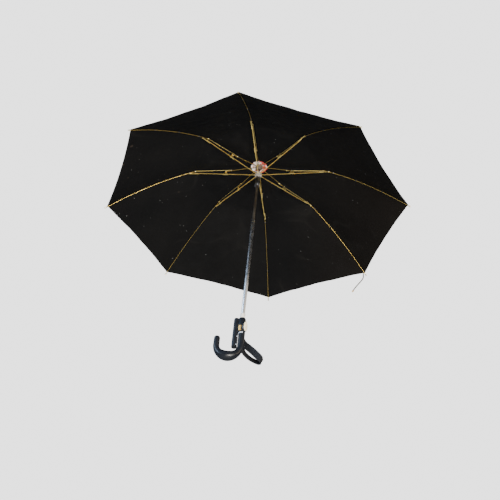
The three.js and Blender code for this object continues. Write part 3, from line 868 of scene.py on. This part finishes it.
def thread_tie(share):
    """Three turns of thread round the rib and up through the cloth."""
    (x, z), beyond = rib_curve(np.array([share, share + 0.01]))
    way_x, way_z = unit_of(beyond - (x, z))
    ahead, lift = np.array([way_x, 0, way_z]), np.array([-way_z, 0, way_x])
    shells = []
    for turn_no in (-1, 0, 1):
        middle = np.array([x, 0, z]) + ahead * turn_no * THREAD_PITCH + lift * LOOP_RISE
        loop = oval_ring(middle, (0, 1, 0), lift, circle(20), LOOP_HALF_WIDTH, LOOP_HALF_HEIGHT)
        rings = []
        for at, a in zip(loop, circle(20)):
            out = lift * sin(a) + (0, cos(a), 0)
            rings.append(oval_ring(at, out, ahead, circle(6), THREAD_RADIUS, THREAD_RADIUS))
        shells.append(swept(rings, closed=True))
    return shells


THREAD_SHARES = (0.06, 0.36, 0.68)


def make_arms():
    link_pins = [rivet(p, -RIB_HALF, LINK_OUT) for p in (LINK_ROOT, TAIL_END)]
    ties = [s for share in THREAD_SHARES for s in thread_tie(share)]
    parts = [
        ("crown_rib_{}_steel", crown_rib_shells(), BRASS_DARK, "crown_rib", "rib_dark", 32),
        ("stretcher_{}_steel", stretcher_shells(), BRASS, "stretcher", "rib_bright", 32),
        ("link_{}_steel", link_shells(), BRASS, "link", "rib_bright", 32),
        ("outer_rib_{}_steel", outer_rib_shells(), BRASS_DARK, "outer_rib", "rib_dark", 32),
        ("stretcher_rivets_{}", stretcher_rivets(), RIVET, "stretcher", "rib_bright", 38),
        ("link_rivets_{}", link_pins, RIVET, "link", "rib_bright", 38),
        ("rib_tip_{}", tip_shells(), TIP_METAL, "outer_rib", "bead_gold", 30),
        ("thread_ties_{}", ties, THREAD, "outer_rib", "canopy_cloth", 80),
    ]
    for arm in range(1, ARMS + 1):
        for name, shells, look, stem, slot, sharp in parts:
            node = [f"{stem}_{arm}"] if name.endswith("steel") else ()
            arm_shells = [to_arm(s, arm) for s in shells]
            piece(name.format(arm), arm_shells, look, f"{stem}_{arm}", node, sharp)


make_arms()


# ---- shaft, crown, runner and cap ----
def rounded(points, radius, steps=4):
    """A closed profile with each corner rounded off."""
    points = [np.array(p, float) for p in points]
    out = []
    for before, corner, after in zip([points[-1], *points[:-1]], points, [*points[1:], points[0]]):
        back, ahead = before - corner, after - corner
        reach = min(radius, np.linalg.norm(back) / 2.1, np.linalg.norm(ahead) / 2.1)
        a = corner + back / np.linalg.norm(back) * reach
        b = corner + ahead / np.linalg.norm(ahead) * reach
        for t in np.linspace(0, 1, steps + 1):
            out.append(tuple((1 - t) ** 2 * a + 2 * t * (1 - t) * corner + t**2 * b))
    return out


def tube(inner, outer, low, high, soft=0.0003):
    return rounded([(inner, low), (outer, low), (outer, high), (inner, high)], soft, 3)


WIRE_RADIUS = 0.0006
WIRE_GROOVE = 0.00095
SLOT_DEPTH = 0.014
SLOT_HALF_HEIGHT = 0.008


def slotted(made, pivot_z, floor, width):
    """Cuts the eight slots that take the ribs' eyes."""
    low = (floor, -width / 2, pivot_z - SLOT_HALF_HEIGHT)
    high = (floor + SLOT_DEPTH, width / 2, pivot_z + SLOT_HALF_HEIGHT)
    tool = cut_by(made, [to_arm(box_shell(low, high), arm) for arm in range(1, ARMS + 1)])
    baked(made)
    bpy.data.objects.remove(tool)
    shade(made.data, 35)


def make_hub(name, node, look, body, pivot_point, measures, slot):
    """A slotted hub whose flange has a groove for the wire; heights are measured from the crown."""
    x, z = pivot_point
    groove, rim = WIRE_GROOVE, x + 0.002
    bore, barrel, low, flange_low, flange_high, high = metres(measures) + [0, 0, *[CROWN_Z] * 4]
    outline = [(bore, low), (barrel, low), (barrel, flange_low), (rim, flange_low), (rim, z - groove)]
    outline += [(x - groove, z - groove), (x - groove, z + groove), (rim, z + groove), (rim, flange_high)]
    outline += [(barrel, flange_high), (barrel, high), (bore, high)]
    turned_hub = lathe(rounded(outline, 0.0004, 3), 96)
    hub = piece(name, [turned_hub], look, body, [node])
    slotted(hub, z, *metres(slot))
    loop = [(x + WIRE_RADIUS * cos(a), z + WIRE_RADIUS * sin(a)) for a in circle(12)]
    piece(f"{node}_wire_ring", [lathe(loop, 96)], WIRE, body, [f"{node}_wire"], sharp=180)


# radii of the bore and the barrel, then heights of the bottom, the flange and the top, in millimetres
CROWN_HUB = [4.85, 6.7, -18, -10.5, -3.6, -3]
RUNNER_HUB = [6.1, 6.9, -52, -46, -35, -33]
LOWER_TUBE = metres([4.9, 5.75])  # inner and outer radius
UPPER_TUBE = metres([3.7, 4.5])
FERRULE = metres([4.6, 5.75])
SLEEVE_WALL = metres([6.1, 7.6])
SLEEVE_BEAD = metres([7.0, 7.85])
CAP_PROFILE = metres([
    [0, 0], [5.0, 0], [5.6, 0.3], [7.3, 2.2], [7.5, 2.8], [7.3, 3.4], [6.2, 5.8], [5.9, 6.8],
    [5.5, 7.5], [4.6, 17.6], [4.2, 19.0],
])


def make_shaft():
    low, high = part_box("lower_tube")
    wall = lathe(tube(*LOWER_TUBE, low.z, high.z), 72)
    ferrule = lathe(tube(*FERRULE, high.z - 0.0005, high.z + 0.0014, 0.0005), 72)
    piece("lower_tube_steel", [wall, ferrule], CHROME, "handle", ["lower_tube"], sharp=30)
    low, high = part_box("upper_tube")
    wall = lathe(tube(*UPPER_TUBE, low.z, high.z), 72)
    piece("upper_tube_steel", [wall], CHROME_DULL, "shaft", ["upper_tube"], sharp=30)
    make_hub("crown_hub", "crown", HUB, "shaft", CROWN_PIVOT, CROWN_HUB, (6.9, 3.1))
    make_hub("runner_hub", "runner", RUNNER, "runner", RUNNER_PIVOT, RUNNER_HUB, (7.0, 3.9))
    low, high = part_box("runner_sleeve")
    sleeve = [lathe(tube(*SLEEVE_WALL, low.z, high.z, 0.0005), 96)]
    for up in (0.003, 0.006, high.z - low.z - 0.004):
        sleeve.append(lathe(tube(*SLEEVE_BEAD, low.z + up, low.z + up + 0.0012, 0.0004), 96))
    piece("runner_sleeve_steel", sleeve, SLEEVE, "runner", ["runner_sleeve"])
    low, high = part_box("top_cap")
    cap = [*(CAP_PROFILE + [0, low.z]), (0.0034, high.z), (0, high.z)]
    piece("top_cap_moulding", [lathe(cap, 72)], BLACK, "shaft", ["top_cap"], sharp=30)


make_shaft()


ROSETTE_RADII = (0.0049, 0.0262)
GATHER = 0.0008


def make_rosette():
    """Gathered disc of printed cloth between the crown and the canopy."""
    rows = 14
    angle = circle(144)
    inner, outer = ROSETTE_RADII
    upper, lower = [], []
    for i in range(rows + 1):
        share = i / rows
        r = inner + (outer - inner) * share
        centre = CROWN_Z - 0.0024 - 0.0038 * max(0, (r - 0.011) / 0.017)
        gather = GATHER * share * np.sin(16 * angle + 1.5 * np.sin(3 * angle))
        edge = 1 + 0.02 * share * np.sin(8 * angle + 0.6)
        ring = [r * edge * np.cos(angle), r * edge * np.sin(angle)]
        half = 0.00022 * (1 + 1.2 * (i >= rows - 1))
        upper.append(np.stack([*ring, centre + gather + half], 1))
        lower.append(np.stack([*ring, centre + gather - half], 1))
    shell = swept([*lower, *reversed(upper)], closed=True)
    made = piece("rosette_cloth", [shell], ROSETTE, "shaft", ["rosette"], sharp=60)


make_rosette()

# ---- handle ----
GRIP_TOP = 0.146
BARREL_BOTTOM = 0.095
BARREL_TOP_RADIUS = 0.0108
BARREL_LOW_RADIUS = 0.0120
SPINE_X = -0.0153
SPINE_RADIUS = 0.0082
SPINE_BOTTOM = 0.0445
CAP_HEIGHT = 0.0036
CAP_SOFT = 0.0014
TRACK_FLOOR = SPINE_X + SPINE_RADIUS - 0.0042
BUTTON_SIDE = Matrix.Rotation(radians(-36), 3, "Z")
BUTTON_Z = 0.114
BUTTON_WIDTH = 0.0145
BUTTON_HEIGHT = 0.032
BUTTON_FACE = 0.0173
BOSS_WIDTH = 0.0175
BOSS_HEIGHT = 0.037
BOSS_FACE = 0.0150
POCKET_FLOOR = 0.0082
COIL_TURNS = 2.5
COIL_RADIUS = 0.002
COIL_WIRE = 0.00035
COIL_ENDS = (0.0088, 0.0112)  # distances out from the shaft's axis
BADGE_SIDE = Matrix.Rotation(radians(-18), 3, "Z")
BADGE_Z = 0.106
BADGE_HALF_WIDTH = 0.00375
BADGE_HALF_HEIGHT = 0.0090
BADGE_CORNER = 0.0012
CLEARANCE = 0.0007
TUBE_FLOOR = 0.1116
SOCKET_RADIUS = 0.0061
COLLAR_WALL = metres([6.1, 7.0])
COLLAR_FOOT = metres([6.6, 7.3])
COLLAR_HEIGHT = 0.016
TRACK_LENGTH = 0.046
TRACK_HALF_WIDTH = 0.0021
VOXEL = 0.0005
DETENT_SIDE = radians(-43)
DETENT_HEIGHTS = (0.0800, 0.0520)
CROOK_X = 0.0028
CROOK_RADIUS = 0.0095
CROOK_BELLY = 0.0053
CROOK_TAPER = 0.0008
BOW = 0.0342
BOW_Z = CROOK_RADIUS + CROOK_BELLY + BOW
ARM_TOP = 0.080
CROOK_DOME = 0.007


def oval_shell(width, height, levels, sides=48):
    """Stacked ovals facing outwards on the button's side: levels are (distance out, shrink)."""
    angle = circle(sides)
    rings = []
    for out, shrink in levels:
        half_width, half_height = width / 2 - shrink, height / 2 - shrink
        rings.append([(out, half_width * cos(a), half_height * sin(a)) for a in angle])
    shell = turned(swept(rings), BUTTON_SIDE)
    return moved(shell, (0, 0, BUTTON_Z))


def grip_shells():
    """Barrel, spine, web between them, raised oval round the button, and the strap's lug."""
    low, top = BARREL_BOTTOM, GRIP_TOP
    barrel = [
        (0, low), (BARREL_LOW_RADIUS - 0.0004, low), (BARREL_LOW_RADIUS, low + 0.0005),
        (BARREL_LOW_RADIUS, top - 0.022), (BARREL_TOP_RADIUS, top - 0.0045),
        (BARREL_TOP_RADIUS - 0.0007, top - 0.0018), (BARREL_TOP_RADIUS - 0.0024, top), (0, top),
    ]
    spine_low, spine_top = SPINE_BOTTOM + 0.004, top - 0.002
    spine = [
        (0, spine_low), (SPINE_RADIUS, spine_low), (SPINE_RADIUS, spine_top - 0.003),
        (SPINE_RADIUS - 0.001, spine_top - 0.001), (SPINE_RADIUS - 0.003, spine_top), (0, spine_top),
    ]
    web = box_shell((SPINE_X / 2 - 0.009, -0.0065, low), (SPINE_X / 2 + 0.007, 0.0065, top - 0.004))
    rim = [(0.006, 0), (BOSS_FACE - 0.001, 0), (BOSS_FACE - 0.0003, 0.0004), (BOSS_FACE, 0.001)]
    boss = oval_shell(BOSS_WIDTH, BOSS_HEIGHT, rim)
    lug_y = BARREL_TOP_RADIUS - 0.0009
    lug = box_shell((-0.002, lug_y, low + 0.002), (0.008, lug_y + 0.005, low + 0.018))
    return [lathe(barrel), moved(lathe(spine), (SPINE_X, 0, 0)), web, boss, lug]


def grip_cutters():
    """The tube's socket, the button's pocket and the slider's track."""
    floor, top = TUBE_FLOOR, GRIP_TOP + 0.002
    socket = lathe([(0, floor), (SOCKET_RADIUS, floor), (SOCKET_RADIUS, top), (0, top)])
    pocket = oval_shell(BUTTON_WIDTH + CLEARANCE, BUTTON_HEIGHT + CLEARANCE, [(POCKET_FLOOR, 0), (0.020, 0)])
    high, side = BARREL_BOTTOM - 0.0005, TRACK_HALF_WIDTH
    track = box_shell((TRACK_FLOOR, -side, high - TRACK_LENGTH), (TRACK_FLOOR + 0.008, side, high))
    return [socket, pocket, track]


def make_grip():
    """One moulding, blended by a remesh, with its socket, pocket and track cut out."""
    grip = object_of("grip_moulding", mesh_of("grip_moulding", grip_shells()))
    blend = grip.modifiers.new("blend", "REMESH")
    blend.voxel_size = VOXEL
    tool = cut_by(grip, grip_cutters())
    soften = grip.modifiers.new("soften", "REMESH")
    soften.voxel_size = VOXEL
    smooth = grip.modifiers.new("smooth", "SMOOTH")
    smooth.iterations = 5
    baked(grip)
    bpy.data.objects.remove(tool)
    grip.data.shade_smooth()
    grip.data.materials.append(BLACK)
    settled(grip, "handle", ["grip_body"])
    low, high = SPINE_BOTTOM, SPINE_BOTTOM + CAP_HEIGHT
    inner, outer = 0.00001, SPINE_RADIUS  # a pinhole keeps the rounded profile off the axis
    cap = rounded([(inner, low), (outer, low), (outer, high), (inner, high)], CAP_SOFT, 5)
    cap_shell = moved(lathe(cap), (SPINE_X, 0, 0))
    piece("spine_end_cap", [cap_shell], BLACK, "handle", ["grip_end_cap"], sharp=60)
    low = GRIP_TOP + 0.0004
    collar = [
        lathe(tube(*COLLAR_WALL, low, GRIP_TOP + COLLAR_HEIGHT, 0.0004), 72),
        lathe(tube(*COLLAR_FOOT, low, GRIP_TOP + 0.0022, 0.0004), 72),
    ]
    piece("tube_collar_moulding", collar, IVORY, "handle", ["tube_collar"])


def make_button():
    """Domed cap with a soft rim, and the coil behind it."""
    face = BUTTON_FACE
    levels = [(0.0119, 0), (face - 0.0012, 0), (face - 0.0006, 0.0003), (face - 0.0003, 0.0009)]
    levels.append((face - 0.0005, 0.0014))
    for t in np.linspace(0.2, 1.5, 6):
        levels.append((face - 0.0005 + 0.0006 * sin(t), 0.0014 + 0.0052 * (1 - cos(t))))
    cap = oval_shell(BUTTON_WIDTH, BUTTON_HEIGHT, levels)
    piece("button_cap", [cap], BUTTON, "button", ["release_button"], sharp=30)
    angle = np.linspace(0, COIL_TURNS * 2 * pi, 61)
    out = np.linspace(*COIL_ENDS, 61)
    path = np.stack([out, COIL_RADIUS * np.cos(angle), COIL_RADIUS * np.sin(angle)], 1)
    coil = turned(twisted(path, COIL_WIRE, 1, 0, 8), BUTTON_SIDE)
    coil = moved(coil, (0, 0, BUTTON_Z))
    spring = piece("button_coil", [coil], WIRE, "handle", ["button_spring"], sharp=180)
    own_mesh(spring)


def make_badge():
    """Small plain plate with a raised rim, bent a little round the barrel."""
    half_width, half_height, soft = BADGE_HALF_WIDTH, BADGE_HALF_HEIGHT, BADGE_CORNER
    back = BARREL_LOW_RADIUS + 0.00035
    angle = circle(32)
    to_side = np.where(np.cos(angle) >= 0, 1, -1) * (half_width - soft)
    to_end = np.where(np.sin(angle) >= 0, 1, -1) * (half_height - soft)
    rings = []
    rim = [(0, 1, 0), (0, 1, 0.6), (0.3, 1, 0.9), (0.8, 1, 0.9), (1.1, 1, 0.6)]
    face = [(1.1, scale, 0.6) for scale in (0.8, 0.6, 0.4, 0.2, 0.02)]
    for shrink, scale, out in np.array(rim + face) * (MM, 1, MM):
        corner = max(soft - shrink, 0.0001)
        x = (to_side + corner * np.cos(angle)) * scale
        z = (to_end + corner * np.sin(angle)) * scale
        bend = x**2 / (3 * back)
        rings.append(np.stack([x, bend - back - out, z + BADGE_Z], 1))
    plate = turned(swept(rings), BADGE_SIDE)
    piece("badge", [plate], GOLD, "handle", ["badge_plate"], sharp=40)


def crook_radius(share):
    """The rod is fullest at the bottom of the bow and thins towards its end."""
    middle = np.sin(pi * np.clip((share - 0.3) / 0.5, 0, 1)) ** 2
    late = np.clip((share - 0.65) / 0.35, 0, 1)
    return CROOK_RADIUS + CROOK_BELLY * middle - CROOK_TAPER * eased(late)


def crook_line():
    """Centre line from the shank's top round the bow to the end of the arm, and the length at each point."""
    turn = np.linspace(0, pi, 80)
    bow = np.stack([CROOK_X - BOW + BOW * np.cos(turn), 0 * turn, BOW_Z - BOW * np.sin(turn)], 1)
    top = (CROOK_X, 0, BARREL_BOTTOM - 0.0004)
    points = np.concatenate([[top], bow, [(CROOK_X - 2 * BOW, 0, ARM_TOP)]])
    return points, np.concatenate([[0], np.cumsum(np.linalg.norm(np.diff(points, axis=0), axis=1))])


def make_crook():
    points, travelled = crook_line()
    length, dome = travelled[-1], CROOK_DOME
    near_end = length - dome * (1 - np.sin(np.linspace(0, pi / 2, 12)))
    run = np.concatenate([np.linspace(0, length - dome, 158, endpoint=False), near_end])
    path = np.stack([np.interp(run, travelled, points[:, k]) for k in range(3)], 1)
    along = tangents(path)
    angle = circle(48)
    seam = 1 - 0.035 * np.exp(-(((np.abs(np.sin(angle)) - 1) / 0.004) ** 2))
    rings = []
    for at, centre, way in zip(run, path, along):
        left = (length - at) / dome
        end = sqrt(max(1 - max(1 - left, 0) ** 2.2, 0.0004))
        radius = crook_radius(at / length) * end * seam
        out = np.array([way[2], 0, -way[0]])
        rings.append(oval_ring(centre, out, (0, 1, 0), angle, radius, radius))
    piece("crook_moulding", [swept(rings)], BLACK, "crook", ["crook"], sharp=60)


def make_slider():
    """Pale slider: a curved head on the shank's top and a tongue that runs in the spine's track."""
    top = BARREL_BOTTOM - 0.0007
    corners = [(0.0088, top - 0.0034), (0.0103, top - 0.0034), (0.0103, top), (0.0088, top)]
    section = rounded(corners, 0.0004, 3)
    rings = []
    for a in np.radians(np.linspace(-215, -72, 40)):
        rings.append([(CROOK_X + r * cos(a), r * sin(a), z) for r, z in section])
    tongue = box_shell((TRACK_FLOOR + 0.0004, -0.0017, top - 0.0055), (-0.0050, 0.0017, top))
    piece("slider_head", [swept(rings), tongue], GREY, "crook", ["crook_slider"], sharp=35)
    pads = []
    side = DETENT_SIDE
    profile = metres([[0, -0.2], [1.9, -0.2], [1.9, 0.3], [1.5, 0.6], [0, 0.7]])
    facing = Matrix.Rotation(side, 3, "Z") @ Matrix.Rotation(pi / 2, 3, "Y")
    for z in DETENT_HEIGHTS:
        at = (SPINE_X + SPINE_RADIUS * cos(side), SPINE_RADIUS * sin(side), z)
        pads.append(moved(turned(lathe(profile, 24), facing), at))
    piece("detent_marks", pads, GREY, "handle", sharp=35)


make_grip()
make_button()
make_badge()
make_crook()
make_slider()

# ---- wrist strap ----
STRAP_ROUTE = metres([
    [4, 17.6, 99], [7, 17, 84], [14, 13.5, 67], [25, 9.5, 54], [36, 6.5, 43], [51, 4, 27],
    [61, 4, 16.5], [66, 8.5, 12], [66, 15, 11.5], [61, 21, 13], [51, 25.5, 18], [38, 27.5, 25.5],
    [25, 28, 35], [13, 27, 48], [6, 24.5, 66], [3, 20.6, 99],
])
FRONT_LEAN = np.array([0.76, -0.38, 0.53])
BACK_LEAN = np.array([0.2, 0.4, 0.9])
FOLD = (0.36, 0.5)  # shares of the strap between which its lean changes
STITCH_INSET = 0.40
STRAP_WIDTH = 0.020
STRAP_THICKNESS = 0.0016


def strap_frames(steps):
    """Centre, width direction, facing and width along the strap."""
    path, length = curve_through(STRAP_ROUTE, steps)
    along = tangents(path)
    share = np.linspace(0, 1, steps)
    ends = np.clip(np.minimum(share, 1 - share) / 0.2, 0, 1)
    free = eased(ends)
    back = eased(np.clip((share - FOLD[0]) / (FOLD[1] - FOLD[0]), 0, 1))
    lean = np.outer(1 - back, FRONT_LEAN) + np.outer(back, BACK_LEAN)
    wide = np.outer(1 - free, (1, 0, 0)) + lean * free[:, None]
    wide -= along * np.sum(wide * along, axis=1)[:, None]
    wide /= np.linalg.norm(wide, axis=1)[:, None]
    return path, wide, np.cross(along, wide), STRAP_WIDTH * (0.5 + 0.5 * free), length


def make_strap():
    path, wide, facing, width, length = strap_frames(260)
    t = np.linspace(-1, 1, 25)
    ridge = 0.72 + 0.28 * np.exp(-(((np.abs(t) - 0.86) / 0.07) ** 2))
    swell = STRAP_THICKNESS / 2 * ridge * (1 - 0.6 * np.abs(t) ** 30)
    rings = []
    for centre, side, face, w in zip(path, wide, facing, width):
        spread = centre + np.outer(t * w / 2, side)
        lift = np.outer(swell, face)
        rings.append(np.concatenate([spread + lift, (spread - lift)[::-1]]))
    strap = piece("strap_webbing", [swept(rings)], WEBBING, "handle", ["wrist_strap"], sharp=60)
    stitches = []
    for i in range(6, len(path) - 6, 4):
        for sign in (-1, 1):
            for face_sign in (-1, 1):
                up = facing[i] * face_sign
                lift = up * STRAP_THICKNESS * 0.43
                a, b = (path[k] + wide[k] * sign * width[k] * STITCH_INSET + lift for k in (i, i + 2))
                stitches.append(stitch(a, b, up))
    thread = piece("strap_stitches", stitches, STITCH, "handle", sharp=80)


def stitch(a, b, up, radius=0.00032):
    """One arched stitch of thread between two points."""
    way = unit_of(b - a)
    side = np.cross(way, up)
    rings = []
    for t in np.linspace(0, 1, 5):
        centre = a + (b - a) * t + up * 0.00022 * sin(pi * t)
        size = radius * (0.55 + 0.45 * sin(pi * t))
        rings.append(oval_ring(centre, side, up, circle(6), size, size))
    return swept(rings)


make_strap()


# ---- floor, backdrop and light ----
FLOOR_HALF = 30
FLOOR_Z = -2.3
WHITE = (1, 1, 1)
SKY_BLUE = (0.50, 0.72, 1.0)
SKY_WARM = (1.0, 0.88, 0.72)
BEHIND_CAMERA = (0.10, 0.12, 0.15)
SKY_STRENGTH = 0.9
BACKDROP_STRENGTH = 2.6


def make_stage():
    square = [(-1, -1), (1, -1), (1, 1), (-1, 1)]
    corners = [(FLOOR_HALF * x, FLOOR_HALF * y, FLOOR_Z) for x, y in square]
    mesh = bpy.data.meshes.new("floor")
    mesh.from_pydata(corners, [], [(0, 1, 2, 3)])
    look = Look("floor", 0.9)
    look.colour(look.mixed(look.noise(0.7, 3), (0.80, 0.80, 0.79), (0.84, 0.84, 0.83)))
    mesh.materials.append(look.material)
    object_of("floor", mesh)


def area_light(name, place, target, size, power, colour):
    data = bpy.data.lights.new(name, "AREA")
    data.size = size
    data.energy = power
    data.color = colour
    light = object_of(name, data)
    light.location = place
    light.rotation_euler = (Vector(target) - Vector(place)).to_track_quat("-Z", "Y").to_euler()


def make_world():
    """Surround that is dark behind the camera, with a sky that is blue to the left and warm to the right.

    The bright backdrop is seen by the camera only.
    """
    world = bpy.data.worlds.new("studio")
    bpy.context.scene.world = world
    world.use_nodes = True
    tree = world.node_tree
    direction = add_node(tree, "TexCoord", "Generated", {})

    def ramp(axis, low, high):
        value = add_node(tree, "SeparateXYZ", axis, {"Vector": direction})
        return add_node(tree, "MapRange", "Result", {"Value": value, "From Min": low, "From Max": high})

    def blend(factor, first, second):
        return add_node(tree, "Mix", "Result", {"Factor": factor, "A": first, "B": second}, data_type="RGBA")

    sky = blend(ramp("X", -0.35, 0.35), SKY_BLUE, SKY_WARM)
    ahead_or_above = {0: ramp("Y", -0.5, 0.45), 1: ramp("Z", 0.15, 0.5)}
    lit = add_node(tree, "Math", "Value", ahead_or_above, operation="MAXIMUM")
    surround = tree.nodes["Background"]
    surround.inputs["Strength"].default_value = SKY_STRENGTH
    tree.links.new(blend(lit, BEHIND_CAMERA, sky), surround.inputs["Color"])
    backdrop = add_node(tree, "Background", "Background", {"Color": WHITE, "Strength": BACKDROP_STRENGTH})
    camera_ray = add_node(tree, "LightPath", "Is Camera Ray", {})
    shaders = {0: camera_ray, 1: surround.outputs["Background"], 2: backdrop}
    seen = add_node(tree, "MixShader", "Shader", shaders)
    tree.links.new(seen, tree.nodes["World Output"].inputs["Surface"])


make_stage()
make_world()
CANOPY_CENTRE = (0, 0, 0.55)
SHAFT_LOW = (0, 0, 0.2)
area_light("key", (0.9, -3.0, -0.9), CANOPY_CENTRE, 1.1, 330, (1.0, 0.95, 0.86))
area_light("sky_left", (-2.6, -1.6, 1.0), SHAFT_LOW, 1.4, 130, (0.62, 0.78, 1.0))
area_light("warm_right", (2.4, -1.4, 0.2), SHAFT_LOW, 1.0, 30, (1.0, 0.82, 0.58))
area_light("above", (0.4, 0.6, 3.2), CANOPY_CENTRE, 2.5, 60, WHITE)
